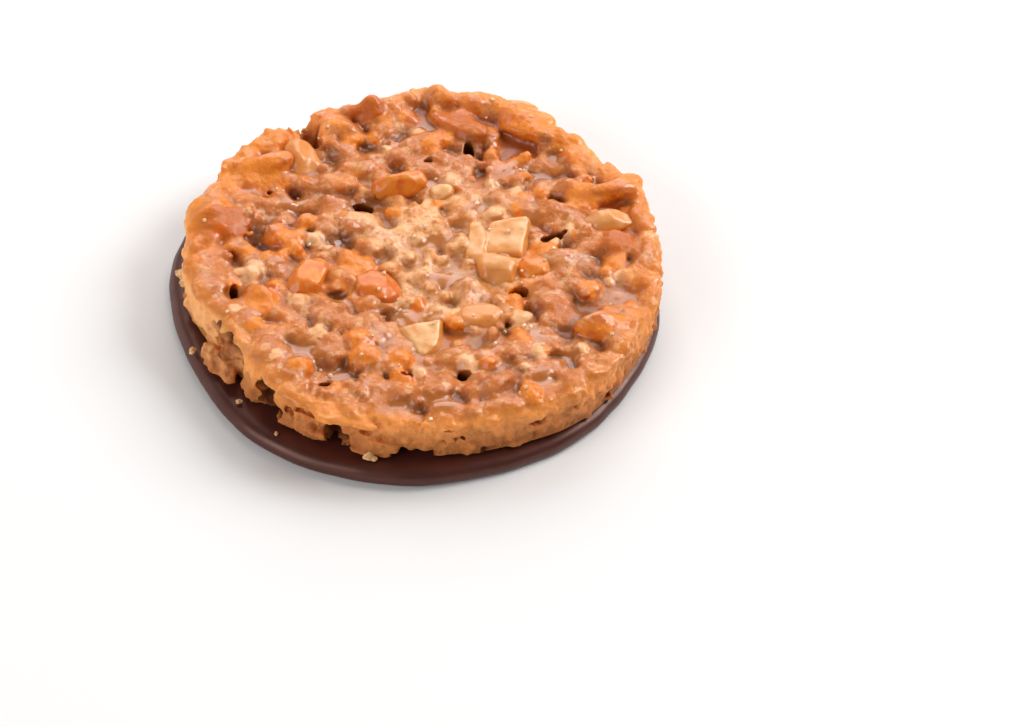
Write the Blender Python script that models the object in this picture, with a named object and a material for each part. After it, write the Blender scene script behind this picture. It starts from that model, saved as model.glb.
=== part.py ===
"""A round florentine: a lumpy caramel and nut biscuit on a plate of dark chocolate.

Run it with blender --background --python part.py, or from Blender's text editor.
Lengths are in metres and +Z is up. The origin is on the surface that the florentine lies on, under
the middle of its bounding box. Azimuths are in degrees, anticlockwise from +X as seen from above, and
the side that faces a viewer at -Y is at -90.
"""

import math
import random

import bmesh
import bpy
from mathutils import Matrix, Vector, noise

MM = 0.001

# Driving dimensions
PLATE_RADIUS = 29.5 * MM
PLATE_HEIGHT = 2.4 * MM
PLATE_SEGMENTS = 96
BISCUIT_RADIUS = 28.1 * MM
RIM_HEIGHT = 9.2 * MM
LAYER_GAP = 0.3 * MM
BISCUIT_MIDDLE = Vector((1.2 * MM, 1.4 * MM, 0))

# Places where an outline stands out (+) or in (-): azimuth, amount, half width in degrees.
PLATE_SWELLS = [
    (-156, -0.9 * MM, 34),
    (-120, 0.35 * MM, 24),
    (-66, -0.8 * MM, 30),
    (-30, -0.8 * MM, 34),
    (122, 1.3 * MM, 34),
]
BISCUIT_SWELLS = [
    (-172, 1.0 * MM, 22),
    (-143, -1.3 * MM, 15),
    (-120, 0.5 * MM, 12),
    (-50, 0.5 * MM, 20),
    (28, 1.1 * MM, 9),
    (40, -0.9 * MM, 10),
    (70, 1.5 * MM, 14),
    (89, 1.2 * MM, 14),
    (112, -0.5 * MM, 14),
    (128, -1.8 * MM, 7),
    (150, 0.5 * MM, 10),
    (170, 0.8 * MM, 9),
]
RIM_RISES = [
    (-92, -0.6 * MM, 55),
    (93, 0.5 * MM, 16),
    (72, 0.7 * MM, 22),
    (108, 0.5 * MM, 10),
    (128, -1.3 * MM, 8),
    (150, 0.4 * MM, 12),
    (172, 0.4 * MM, 9),
    (-143, -0.4 * MM, 14),
    (30, 0.4 * MM, 10),
]

# The wall of the biscuit
WALL_SEGMENTS = 120
WALL_RINGS = 8
WALL_BELLY = 0.35 * MM
WALL_WAVE = 0.55 * MM
WALL_WAVE_LENGTH = 2.8 * MM
CORE_TOP = 7.9 * MM
CORE_SINK = 1.3 * MM
WALL_THICKNESS = 1.8 * MM
RIM_LUMPS = 74
RIM_LUMP_SIZE = 1.35 * MM
RIM_SCATTER = 0.7 * MM

# The lumps of dough and fine nut that cover the top
TOP_LUMPS = 240
LUMP_FIELD_RADIUS = 26.6 * MM
LUMP_SIZES = (1.25 * MM, 2.3 * MM)
TOP_LEVEL = 8.2 * MM
DISH_DEPTH = 0.5 * MM
LEVEL_SCATTER = 0.8 * MM
LUMP_JITTER = 0.6 * MM
LUMP_ROUGHNESS = 0.16
LUMP_SEED = 11

# Chopped nuts that stand out of the top: x and y from the biscuit's middle, length, width, height,
# turn and tilt in degrees, and how high the middle lies above TOP_LEVEL.
CHOPPED_NUTS = {
    "split_half": (8.3, 2.6, 7.6, 5.2, 3.8, 12, -14, 0.25),
    "split_half_lower": (8.9, -2.3, 6.2, 3.6, 3.0, -6, 10, -0.1),
    "beside_split_half": (13.4, -0.3, 4.8, 4.2, 3.0, 40, 12, 0.1),
    "wedge": (-0.2, -15.0, 6.2, 5.6, 3.6, -35, 8, 0.0),
    "notch_half": (-15.6, 14.8, 5.6, 6.4, 3.6, 70, -10, 0.1),
    "long_sliver": (-4.0, 10.9, 6.6, 2.9, 3.0, 22, -6, 0.55),
    "left_wedge": (-13.8, -6.6, 4.6, 5.4, 3.8, 58, 14, 0.35),
    "left_middle": (-8.4, -2.8, 4.6, 3.8, 2.8, 10, 6, 0.0),
    "red_round": (-5.4, -7.4, 5.6, 4.6, 3.2, -30, -6, 0.2),
    "front_oval": (6.6, -10.9, 5.0, 3.7, 2.6, 5, 8, 0.3),
    "right_end": (18.4, 11.3, 4.2, 3.9, 3.0, -20, 10, 0.25),
    "right_ridge": (22.7, 12.6, 6.4, 2.9, 2.8, 24, 4, 0.6),
    "right_lump": (21.6, 6.3, 6.0, 4.6, 3.4, 18, -8, 0.4),
    "lower_right": (21.9, -9.4, 6.4, 4.2, 3.2, 32, 8, 0.5),
    "left_round": (-16.7, 1.3, 3.9, 3.8, 2.8, 0, 5, 0.2),
    "left_rim": (-24.3, 2.6, 5.6, 3.9, 3.2, 12, -10, 0.5),
    "upper_left": (-21.4, 12.4, 6.4, 4.8, 3.2, 38, 6, 0.35),
    "front_left": (-18.9, -9.9, 4.2, 3.6, 2.8, -25, 8, 0.2),
    "back_left_peak": (-8.6, 24.0, 5.0, 3.4, 3.4, 8, -8, 0.8),
    "back_middle": (3.4, 23.6, 6.0, 3.6, 3.2, -12, 6, 0.5),
    "back_right": (11.2, 22.6, 7.4, 4.2, 3.2, -28, -6, 0.6),
    "right_inner": (16.6, -6.4, 4.6, 5.0, 3.2, 15, 10, 0.1),
    "front_right": (9.8, -20.9, 6.2, 4.0, 2.8, 28, 6, 0.0),
}
NUT_CUTS = 4
NUT_SEED = 5

# Holes down into the top: x, y, length, width and depth in mm, turn in degrees
TOP_PITS = [
    (4.4, 18.4, 2.0, 3.2, 5.2, 10),
    (-8.0, 7.5, 2.6, 2.6, 4.6, 30),
    (15.9, 4.4, 5.0, 1.7, 3.2, 14),
    (-22.5, -8.3, 1.5, 2.2, 2.8, 0),
    (5.1, -19.4, 1.9, 1.6, 2.6, 0),
    (-1.4, -20.3, 2.2, 1.5, 2.4, 20),
    (10.8, -4.8, 2.2, 1.6, 2.4, 0),
    (-10.6, -22.4, 1.9, 1.7, 3.2, -20),
    (-0.4, 15.8, 1.3, 1.2, 2.4, 0),
]
# Holes in the wall: azimuth and height of the middle, width, height and depth in mm
WALL_HOLES = [
    (-147.5, 6.9, 2.4, 2.2, 2.4),
    (-141.5, 6.3, 2.8, 2.9, 2.8),
    (-125.8, 5.6, 2.7, 5.4, 3.6),
    (-107.8, 3.7, 2.2, 2.2, 2.6),
    (-90.0, 3.2, 4.6, 1.6, 2.6),
    (-60.2, 5.4, 2.8, 1.1, 1.6),
    (-81.1, 7.1, 1.8, 0.9, 1.2),
    (-15.0, 4.2, 2.4, 1.6, 2.0),
    (22.0, 3.6, 3.0, 1.7, 2.2),
    (64.0, 5.4, 2.2, 1.5, 1.8),
    (96.0, 3.4, 3.4, 1.7, 2.4),
    (128.0, 8.6, 3.4, 5.4, 2.0),
    (163.0, 3.6, 2.6, 1.6, 2.2),
]
# The crumbling flake under the left holes, as lumps: azimuth, radius, height, size along and across
FLAKE_LUMPS = [
    (-151.0, 28.9, 3.35, 1.9, 0.95),
    (-147.0, 28.6, 3.3, 1.7, 0.9),
    (-143.0, 27.6, 3.6, 1.8, 1.0),
    (-135.0, 27.3, 4.4, 1.5, 1.5),
    (-133.0, 27.4, 6.2, 1.4, 1.6),
    (-113.0, 28.2, 3.6, 2.1, 0.9),
    (-100.0, 28.2, 3.4, 2.3, 0.8),
]

CORE_VOXEL = 0.5 * MM
CORE_TRIANGLES = 8000

SMOOTH_ANGLE = math.radians(34)
# Colour, roughness and metallic value of each solid
CHOCOLATE_LOOK = ((0.055, 0.022, 0.014, 1), 0.35, 0)
BISCUIT_LOOK = ((0.62, 0.26, 0.09, 1), 0.4, 0)


def clear_scene():
    for obj in list(bpy.data.objects):
        bpy.data.objects.remove(obj)


def material(name, look):
    made = bpy.data.materials.new(name)
    made.use_nodes = True
    shader = made.node_tree.nodes["Principled BSDF"]
    colour, roughness, metallic = look
    shader.inputs["Base Color"].default_value = colour
    shader.inputs["Roughness"].default_value = roughness
    shader.inputs["Metallic"].default_value = metallic
    made.diffuse_color = colour
    return made


def object_from(name, bm, collection=None):
    mesh = bpy.data.meshes.new(name)
    bm.to_mesh(mesh)
    bm.free()
    obj = bpy.data.objects.new(name, mesh)
    (collection or bpy.context.scene.collection).objects.link(obj)
    return obj


def swell(azimuth, swells):
    """The sum of the bumps and dents at an azimuth, each with a smooth cosine shape."""
    total = 0.0
    for at, amount, half_width in swells:
        gap = (azimuth - at + 180) % 360 - 180
        if abs(gap) < half_width:
            total += amount * (0.5 + 0.5 * math.cos(math.pi * gap / half_width))
    return total


def azimuth_of(point):
    return math.degrees(math.atan2(point.y, point.x))


def around(azimuth, radius, height=0.0):
    angle = math.radians(azimuth)
    return Vector((radius * math.cos(angle), radius * math.sin(angle), height))


def biscuit_radius(azimuth):
    return BISCUIT_RADIUS + swell(azimuth, BISCUIT_SWELLS)


def plate_radius(azimuth):
    return PLATE_RADIUS + swell(azimuth, PLATE_SWELLS)


def top_level(radius):
    """The top sinks a little towards the middle, like a shallow dish."""
    return TOP_LEVEL - DISH_DEPTH * (1 - (radius / BISCUIT_RADIUS) ** 2)


def add_blob(bm, middle, size, turn=0.0, tilt=0.0, roughness=LUMP_ROUGHNESS, subdivisions=2):
    """Adds an uneven rounded lump. size holds its three half lengths."""
    made = bmesh.ops.create_icosphere(bm, subdivisions=subdivisions, radius=1.0)
    place = (
        Matrix.Translation(middle)
        @ Matrix.Rotation(math.radians(turn), 4, "Z")
        @ Matrix.Rotation(math.radians(tilt), 4, "Y")
        @ Matrix.Diagonal((*size, 1))
    )
    for vertex in made["verts"]:
        own = middle / (7 * MM) + vertex.co * 0.9
        vertex.co *= 1 + roughness * 2 * noise.noise(own)
        vertex.co = place @ vertex.co
    return made["verts"]


def build_plate():
    """The chocolate: a flat-bottomed plate with a soft edge and a ledge that slopes out from the biscuit."""
    # Each ring is how far it lies inside the outline, and its height.
    rings = [
        (1.1 * MM, 0.0),
        (0.5 * MM, 0.14 * MM),
        (0.1 * MM, 0.55 * MM),
        (0.0, 1.1 * MM),
        (0.12 * MM, 1.6 * MM),
        (0.45 * MM, 2.02 * MM),
        (1.0 * MM, 2.28 * MM),
        (1.9 * MM, PLATE_HEIGHT),
    ]
    bm = bmesh.new()
    made = bmesh.ops.create_circle(bm, cap_ends=True, segments=PLATE_SEGMENTS, radius=PLATE_RADIUS)
    layers = [made["verts"]]
    edges = bm.edges[:]
    for _ in rings[1:]:
        made = bmesh.ops.extrude_edge_only(bm, edges=edges)["geom"]
        edges = [part for part in made if isinstance(part, bmesh.types.BMEdge)]
        layers.append([part for part in made if isinstance(part, bmesh.types.BMVert)])
    for layer, (inset, height) in zip(layers, rings):
        for vertex in layer:
            azimuth = azimuth_of(vertex.co)
            vertex.co = around(azimuth, plate_radius(azimuth) - inset, height)
    bmesh.ops.holes_fill(bm, edges=edges)
    bmesh.ops.recalc_face_normals(bm, faces=bm.faces)
    return object_from("chocolate_base", bm)


def add_core(bm):
    """The solid dough inside, with the outline of the wall and a slight belly."""
    foot = PLATE_HEIGHT - LAYER_GAP
    bmesh.ops.create_cone(bm, cap_ends=True, segments=WALL_SEGMENTS, radius1=1, radius2=1, depth=1)
    uprights = [edge for edge in bm.edges if abs(edge.verts[0].co.z - edge.verts[1].co.z) > 0.5]
    bmesh.ops.subdivide_edges(bm, edges=uprights, cuts=WALL_RINGS, use_grid_fill=True)
    for vertex in bm.verts:
        azimuth = azimuth_of(vertex.co)
        share = vertex.co.z + 0.5
        height = foot + share * (CORE_TOP + swell(azimuth, RIM_RISES) - foot)
        belly = WALL_BELLY * (math.sin(math.pi * share) - 1)
        spot = around(azimuth, BISCUIT_RADIUS, height) / WALL_WAVE_LENGTH
        wave = WALL_WAVE * noise.noise(spot)
        vertex.co = around(azimuth, biscuit_radius(azimuth) + belly + wave, height)
    lid = max(bm.faces, key=lambda face: (len(face.verts), face.calc_center_median().z))
    bmesh.ops.inset_individual(bm, faces=[lid], thickness=WALL_THICKNESS, depth=-CORE_SINK)


def add_rim(bm, draw):
    """A chain of lumps round the edge, which makes the ragged rim."""
    for i in range(RIM_LUMPS):
        azimuth = 360 * (i + draw.uniform(-0.3, 0.3)) / RIM_LUMPS
        size = RIM_LUMP_SIZE * draw.uniform(0.75, 1.3)
        top = RIM_HEIGHT + swell(azimuth, RIM_RISES) - draw.uniform(0, 1) * RIM_SCATTER
        reach = size * draw.uniform(1, 1.6)
        middle = around(azimuth, biscuit_radius(azimuth) - reach, top - size * 0.9)
        shape = (reach, size * draw.uniform(1, 1.7), size * 0.95)
        add_blob(bm, middle, shape, turn=azimuth + draw.uniform(-20, 20))


def add_top_lumps(bm, draw):
    """Lumps in a sunflower spiral, each moved, turned and sized at random."""
    for i in range(TOP_LUMPS):
        radius = LUMP_FIELD_RADIUS * math.sqrt((i + 0.5) / TOP_LUMPS)
        azimuth = i * 137.508 + draw.uniform(-4, 4)
        size = draw.uniform(*LUMP_SIZES)
        flat = draw.uniform(0.6, 0.9)
        long = draw.uniform(1.0, 1.5)
        level = top_level(radius) + draw.uniform(-1, 0.55) * LEVEL_SCATTER
        middle = around(azimuth, radius, level - size * flat * 0.75)
        middle += Vector((draw.uniform(-1, 1), draw.uniform(-1, 1), 0)) * LUMP_JITTER
        shape = (size * long, size / math.sqrt(long), size * flat)
        add_blob(bm, middle, shape, turn=draw.uniform(0, 180), tilt=draw.uniform(-15, 15))


def add_flake(bm):
    for azimuth, radius, height, along, across in FLAKE_LUMPS:
        size = (across * MM, along * MM, across * 0.85 * MM)
        add_blob(bm, around(azimuth, radius * MM, height * MM), size, turn=azimuth, roughness=0.25)


def chopped_nut(name, draw):
    """A piece of nut: a smooth lump with flat faces where the knife went."""
    x, y, length, width, height, turn, tilt, lift = CHOPPED_NUTS[name]
    level = top_level(math.hypot(x, y) * MM) + (lift - height * 0.22) * MM
    half = Vector((length, width, height)) * MM / 2
    made = bmesh.new()
    add_blob(made, Vector(), half, roughness=0.08)
    for i in range(NUT_CUTS):
        angle = math.radians(360 * i / NUT_CUTS + draw.uniform(-30, 30))
        facing = Vector((math.cos(angle), math.sin(angle), draw.uniform(-0.1, 0.7))).normalized()
        reach = math.sqrt(sum((half[k] * facing[k]) ** 2 for k in range(3)))
        cut = bmesh.ops.bisect_plane(
            made,
            geom=made.verts[:] + made.edges[:] + made.faces[:],
            plane_co=facing * reach * draw.uniform(0.76, 0.94),
            plane_no=facing,
            clear_outer=True,
        )
        rim = [part for part in cut["geom_cut"] if isinstance(part, bmesh.types.BMEdge)]
        bmesh.ops.holes_fill(made, edges=rim)
    place = (
        Matrix.Translation((x * MM, y * MM, level))
        @ Matrix.Rotation(math.radians(turn), 4, "Z")
        @ Matrix.Rotation(math.radians(tilt), 4, "Y")
    )
    bmesh.ops.transform(made, matrix=place, verts=made.verts)
    bmesh.ops.remove_doubles(made, verts=made.verts, dist=0.02 * MM)
    bmesh.ops.triangulate(made, faces=made.faces)
    bmesh.ops.recalc_face_normals(made, faces=made.faces)
    return made


def helper_collection(name):
    collection = bpy.data.collections.new(name)
    bpy.context.scene.collection.children.link(collection)
    return collection


def make_cutters(collection):
    """Blobs that hollow the top and the wall, and a slab that cuts the foot flat."""
    for i, (x, y, length, width, depth, turn) in enumerate(TOP_PITS):
        bm = bmesh.new()
        level = top_level(math.hypot(x, y) * MM)
        middle = Vector((x * MM, y * MM, level - depth * 0.25 * MM))
        size = (length * MM / 2, width * MM / 2, depth * 0.7 * MM)
        add_blob(bm, middle, size, turn=turn)
        object_from(f"pit_{i}", bm, collection)
    for i, (azimuth, height, width, tall, depth) in enumerate(WALL_HOLES):
        bm = bmesh.new()
        size = (depth * MM, width * MM / 2, tall * MM / 2)
        add_blob(bm, around(azimuth, biscuit_radius(azimuth), height * MM), size, turn=azimuth, roughness=0.3)
        object_from(f"hole_{i}", bm, collection)
    bm = bmesh.new()
    slab = Matrix.Diagonal((4 * BISCUIT_RADIUS, 4 * BISCUIT_RADIUS, PLATE_HEIGHT, 1))
    bmesh.ops.create_cube(bm, size=1.0, matrix=slab)
    bmesh.ops.translate(bm, verts=bm.verts, vec=(0, 0, PLATE_HEIGHT / 2 + LAYER_GAP))
    object_from("slab", bm, collection)


def apply_modifiers(obj):
    graph = bpy.context.evaluated_depsgraph_get()
    made = bpy.data.meshes.new_from_object(obj.evaluated_get(graph))
    obj.modifiers.clear()
    obj.data = made


def keep_largest_body(obj):
    """Drops sealed hollows and loose scraps, and leaves the one big surface."""
    bm = bmesh.new()
    bm.from_mesh(obj.data)
    left = set(bm.verts)
    bodies = []
    while left:
        body = set()
        reached = [left.pop()]
        while reached:
            vertex = reached.pop()
            body.add(vertex)
            near = [edge.other_vert(vertex) for edge in vertex.link_edges]
            fresh = [other for other in near if other in left]
            left.difference_update(fresh)
            reached.extend(fresh)
        bodies.append(body)
    bodies.sort(key=len)
    for scrap in bodies[:-1]:
        bmesh.ops.delete(bm, geom=list(scrap), context="VERTS")
    bm.to_mesh(obj.data)
    bm.free()


def combine(obj, operation, collection):
    """Cuts or fuses obj with every body in the collection, and removes the collection."""
    modifier = obj.modifiers.new(operation, "BOOLEAN")
    modifier.operation = operation
    modifier.solver = "MANIFOLD"
    modifier.operand_type = "COLLECTION"
    modifier.collection = collection
    apply_modifiers(obj)
    for body in list(collection.objects):
        bpy.data.objects.remove(body)
    bpy.data.collections.remove(collection)
    keep_largest_body(obj)


def thin_out(obj, triangles):
    """Fewer faces, with any fold that this leaves cut out and closed again."""
    before = sum(len(face.vertices) - 2 for face in obj.data.polygons)
    thin = obj.modifiers.new("fewer faces", "DECIMATE")
    thin.ratio = triangles / before
    apply_modifiers(obj)
    bm = bmesh.new()
    bm.from_mesh(obj.data)
    folds = {vertex for edge in bm.edges if not edge.is_manifold for vertex in edge.verts}
    bmesh.ops.delete(bm, geom=list(folds), context="VERTS")
    filled = bmesh.ops.holes_fill(bm, edges=[edge for edge in bm.edges if edge.is_boundary])
    bmesh.ops.triangulate(bm, faces=filled["faces"])
    bmesh.ops.recalc_face_normals(bm, faces=bm.faces)
    bm.to_mesh(obj.data)
    bm.free()


def build_biscuit():
    """One solid: the dough with all its lumps melted together, hollowed, and the chopped nuts fused on."""
    draw = random.Random(LUMP_SEED)
    bm = bmesh.new()
    add_core(bm)
    add_rim(bm, draw)
    add_top_lumps(bm, draw)
    add_flake(bm)
    biscuit = object_from("nut_biscuit", bm)

    remesh = biscuit.modifiers.new("melt together", "REMESH")
    remesh.mode = "VOXEL"
    remesh.voxel_size = CORE_VOXEL
    cutters = helper_collection("cutters")
    make_cutters(cutters)
    combine(biscuit, "DIFFERENCE", cutters)
    thin_out(biscuit, CORE_TRIANGLES)

    nuts = helper_collection("chopped nuts")
    draw = random.Random(NUT_SEED)
    for name in CHOPPED_NUTS:
        object_from(name, chopped_nut(name, draw), nuts)
    combine(biscuit, "UNION", nuts)
    return biscuit


def finish(obj, name, look):
    obj.data.materials.clear()
    obj.data.materials.append(material(name, look))
    obj.data.shade_smooth()
    obj.data.set_sharp_from_angle(angle=SMOOTH_ANGLE)


def centre(objects):
    """Puts the origin under the middle of the bounding box of them all."""
    points = [obj.location + vertex.co for obj in objects for vertex in obj.data.vertices]
    low = [min(point[axis] for point in points) for axis in range(3)]
    high = [max(point[axis] for point in points) for axis in range(3)]
    for obj in objects:
        obj.location -= Vector(((low[0] + high[0]) / 2, (low[1] + high[1]) / 2, low[2]))


def main():
    clear_scene()
    plate = build_plate()
    finish(plate, "dark chocolate", CHOCOLATE_LOOK)
    biscuit = build_biscuit()
    finish(biscuit, "caramel nut biscuit", BISCUIT_LOOK)
    biscuit.location = BISCUIT_MIDDLE
    centre([plate, biscuit])


main()
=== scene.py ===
# A round florentine: a lumpy caramel and nut biscuit on a plate of dark chocolate, in soft studio light.
# Blender works in metres. The settings are in millimetres and degrees unless a note says otherwise,
# and places on the biscuit are x and y from its own axis, or an azimuth (-90 faces the camera).
import math
import random
from contextlib import contextmanager

import bmesh
import bpy
import numpy as np
from mathutils import Matrix, Vector, noise
from mathutils.bvhtree import BVHTree
from mathutils.kdtree import KDTree


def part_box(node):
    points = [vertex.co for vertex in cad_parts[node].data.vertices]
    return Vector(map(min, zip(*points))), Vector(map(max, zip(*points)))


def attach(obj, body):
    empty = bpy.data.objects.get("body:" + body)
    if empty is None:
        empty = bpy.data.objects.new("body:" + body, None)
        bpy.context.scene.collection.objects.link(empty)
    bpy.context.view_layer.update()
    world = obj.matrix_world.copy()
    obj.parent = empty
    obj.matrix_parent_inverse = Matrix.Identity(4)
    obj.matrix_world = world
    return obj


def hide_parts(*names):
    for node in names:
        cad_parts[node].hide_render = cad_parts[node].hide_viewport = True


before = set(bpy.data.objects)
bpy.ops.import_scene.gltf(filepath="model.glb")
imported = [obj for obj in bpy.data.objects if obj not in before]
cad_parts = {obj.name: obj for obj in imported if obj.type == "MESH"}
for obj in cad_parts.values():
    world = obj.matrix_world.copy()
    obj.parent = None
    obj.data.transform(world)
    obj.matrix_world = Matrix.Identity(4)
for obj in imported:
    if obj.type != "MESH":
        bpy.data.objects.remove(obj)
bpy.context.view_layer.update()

mm = 0.001
lowCorner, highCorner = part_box("nut_biscuit")
biscuitFoot = lowCorner.z / mm
# The biscuit's axis, a little off the middle of its box because the rim is uneven.
axisOffset = (0.4, -0.36)
biscuitAxis = Vector(((lowCorner.x + highCorner.x) / 2 + axisOffset[0] * mm,
                      (lowCorner.y + highCorner.y) / 2 + axisOffset[1] * mm, 0))

outline = {
    "radius": 28.1,
    "swells": [(-172, 1.0, 22), (-143, -1.3, 15), (-120, 0.5, 12), (-50, 0.5, 20), (28, 1.1, 9),
               (40, -0.9, 10), (70, 1.5, 14), (89, 1.2, 14), (112, -0.5, 14), (128, -1.8, 7),
               (150, 0.5, 10), (170, 0.8, 9)],
    "rises": [(-92, -0.6, 55), (93, 0.5, 16), (72, 0.5, 22), (108, 0.4, 10), (128, -1.3, 8), (150, 0.4, 12),
              (172, 0.3, 9), (-143, -0.4, 14), (30, 0.4, 10)],
}
top = {
    "level": 8.15,
    "dish": 0.35,
    "swellHeight": 0.32,
    "swellLength": 8.0,
    "poolDrop": 0.78,
    "poolHeight": 0.9,
    "poolLength": 4.2,
}
# Broad sunk places in the top: x, y, how far each spreads, and its depth.
valleys = [
    (-7.8, 8.4, 4.6, 0.9), (-14.6, 9.2, 3.6, 0.6), (-10.6, 1.4, 3.8, 0.7), (-20.2, -0.9, 4.0, 0.7),
    (-11.6, 14.4, 3.4, 0.4), (5.4, 18.2, 4.4, 0.9), (13.4, 13.6, 3.4, 0.5), (16.4, 3.6, 4.6, 0.9),
    (20.0, 0.6, 3.6, 0.5), (-13.4, -10.2, 3.0, 0.5), (-4.4, -10.6, 3.2, 0.6), (-22.6, -8.6, 3.0, 0.6),
    (6.4, 13.0, 3.4, 0.4), (12.0, -5.6, 3.2, 0.5), (3.4, -19.6, 3.2, 0.5), (-19.6, 8.4, 2.8, 0.5),
    (17.6, -11.4, 3.0, 0.4), (-8.0, -20.6, 2.8, 0.4), (-2.4, -5.2, 3.0, 0.4), (-16.6, 19.0, 2.8, 0.4),
]


def smoothStep(low, high, value):
    share = np.clip((value - low) / (high - low), 0, 1)
    return share * share * (3 - 2 * share)


def swell(azimuth, swells):
    total = 0.0
    for at, amount, halfWidth in swells:
        gap = (azimuth - at + 180) % 360 - 180
        if abs(gap) < halfWidth:
            total += amount * (0.5 + 0.5 * math.cos(math.pi * gap / halfWidth))
    return total


def around(azimuth, radius, height=0.0):
    angle = math.radians(azimuth)
    return Vector((radius * math.cos(angle), radius * math.sin(angle), height))


def directionOf(azimuth, elevation):
    a, e = math.radians(azimuth), math.radians(elevation)
    return Vector((math.cos(a) * math.cos(e), math.sin(a) * math.cos(e), math.sin(e)))


def azimuthOf(x, y):
    return math.degrees(math.atan2(y, x))


def rimRadius(azimuth):
    return outline["radius"] + swell(azimuth, outline["swells"])


def topLevel(x, y):
    # the dished top with broad, low swells
    dish = top["dish"] * (1 - (x * x + y * y) / outline["radius"] ** 2)
    sunk = 0.0
    for atX, atY, spread, depth in valleys:
        share = math.hypot(x - atX, y - atY) / spread
        if share < 1:
            sunk = max(sunk, depth * (0.5 + 0.5 * math.cos(math.pi * share)))
    swelling = top["swellHeight"] * noise.noise(Vector((x, y, 3.1)) / top["swellLength"])
    return top["level"] - dish - sunk + swelling


def poolLevel(x, y):
    # how high the caramel stands between the lumps
    wave = noise.noise(Vector((x, y, 40.0)) / top["poolLength"])
    return topLevel(x, y) - top["poolDrop"] + top["poolHeight"] * wave


def newObject(name, bm):
    mesh = bpy.data.meshes.new(name)
    bm.to_mesh(mesh)
    bm.free()
    obj = bpy.data.objects.new(name, mesh)
    bpy.context.scene.collection.objects.link(obj)
    return obj


@contextmanager
def opened(obj):
    bm = bmesh.new()
    bm.from_mesh(obj.data)
    yield bm
    bm.to_mesh(obj.data)
    bm.free()


def addTo(whole, part):
    mesh = bpy.data.meshes.new("part")
    part.to_mesh(mesh)
    part.free()
    whole.from_mesh(mesh)
    bpy.data.meshes.remove(mesh)


def bakeModifiers(obj):
    graph = bpy.context.evaluated_depsgraph_get()
    mesh = bpy.data.meshes.new_from_object(obj.evaluated_get(graph))
    obj.modifiers.clear()
    obj.data = mesh


def meltTogether(obj, voxel):
    # one skin round everything that overlaps, while the mesh is still in millimetres
    remesh = obj.modifiers.new("melt", "REMESH")
    remesh.mode = "VOXEL"
    remesh.voxel_size = voxel
    bakeModifiers(obj)


def moveIntoPlace(obj):
    # from millimetres round the biscuit's axis to metres in the shared frame
    obj.data.transform(Matrix.Translation(biscuitAxis) @ Matrix.Scale(mm, 4))


def rotated(degrees, axis):
    return Matrix.Rotation(math.radians(degrees), 4, axis)


def addLump(lumps, middle, size, turn=0.0, tilt=0.0, rough=0.16, seed=0.0, detail=3):
    place = (Matrix.Translation(middle) @ rotated(turn, "Z") @ rotated(tilt, "Y")
             @ Matrix.Diagonal((*size, 1)))
    lumps.append((place, rough, seed, detail))
    return place


def gatherLumps(whole, lumps):
    # builds the lumps a few at a time, which is much quicker than one by one in a growing mesh
    for start in range(0, len(lumps), 24):
        batch = bmesh.new()
        for place, rough, seed, detail in lumps[start:start + 24]:
            made = bmesh.ops.create_icosphere(batch, subdivisions=detail, radius=1.0)["verts"]
            drift = Vector((seed, seed * 0.7, -seed))
            for vert in made:
                vert.co *= 1 + 2 * rough * noise.noise(vert.co * 0.95 + drift)
            bmesh.ops.transform(batch, matrix=place, verts=made)
        addTo(whole, batch)


def keepLargestBody(obj):
    with opened(obj) as bm:
        bodies, unseen = [], set(bm.verts)
        while unseen:
            body, waiting = [], [unseen.pop()]
            while waiting:
                vert = waiting.pop()
                body.append(vert)
                for edge in vert.link_edges:
                    other = edge.other_vert(vert)
                    if other in unseen:
                        unseen.remove(other)
                        waiting.append(other)
            bodies.append(body)
        largest = max(bodies, key=len)
        scraps = [vert for body in bodies if body is not largest for vert in body]
        bmesh.ops.delete(bm, geom=scraps, context="VERTS")


def coordinates(obj):
    flat = np.empty(len(obj.data.vertices) * 3, np.float32)
    obj.data.vertices.foreach_get("co", flat)
    return flat.reshape(-1, 3).astype(float)


def normals(obj):
    flat = np.empty(len(obj.data.vertices) * 3, np.float32)
    obj.data.vertex_normals.foreach_get("vector", flat)
    return flat.reshape(-1, 3).astype(float)


def setCoordinates(obj, points):
    obj.data.vertices.foreach_set("co", points.astype(np.float32).ravel())
    obj.data.update()


def setAttribute(obj, name, values):
    layer = obj.data.attributes.get(name) or obj.data.attributes.new(name, "FLOAT", "POINT")
    layer.data.foreach_set("value", np.asarray(values, np.float32))


def nut(kind, place, size, lift, turn, lean=(0, 0), cuts=(), soaked=0.0):
    # size is length, width and height, lift is how far the piece stands above the top, turn and lean are in
    # degrees, and cuts are knife faces: azimuth, elevation and how far out, as a share of the half size.
    # soaked is how much caramel a pale piece has taken up.
    return {"kind": kind, "place": place, "size": size, "lift": lift, "turn": turn, "lean": lean,
            "cuts": cuts, "soaked": soaked}


# Pieces of these kinds are part of the dough's skin, and the others are separate pieces of nut.
meltedKinds = ("melted", "meltedRed", "dough")
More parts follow.
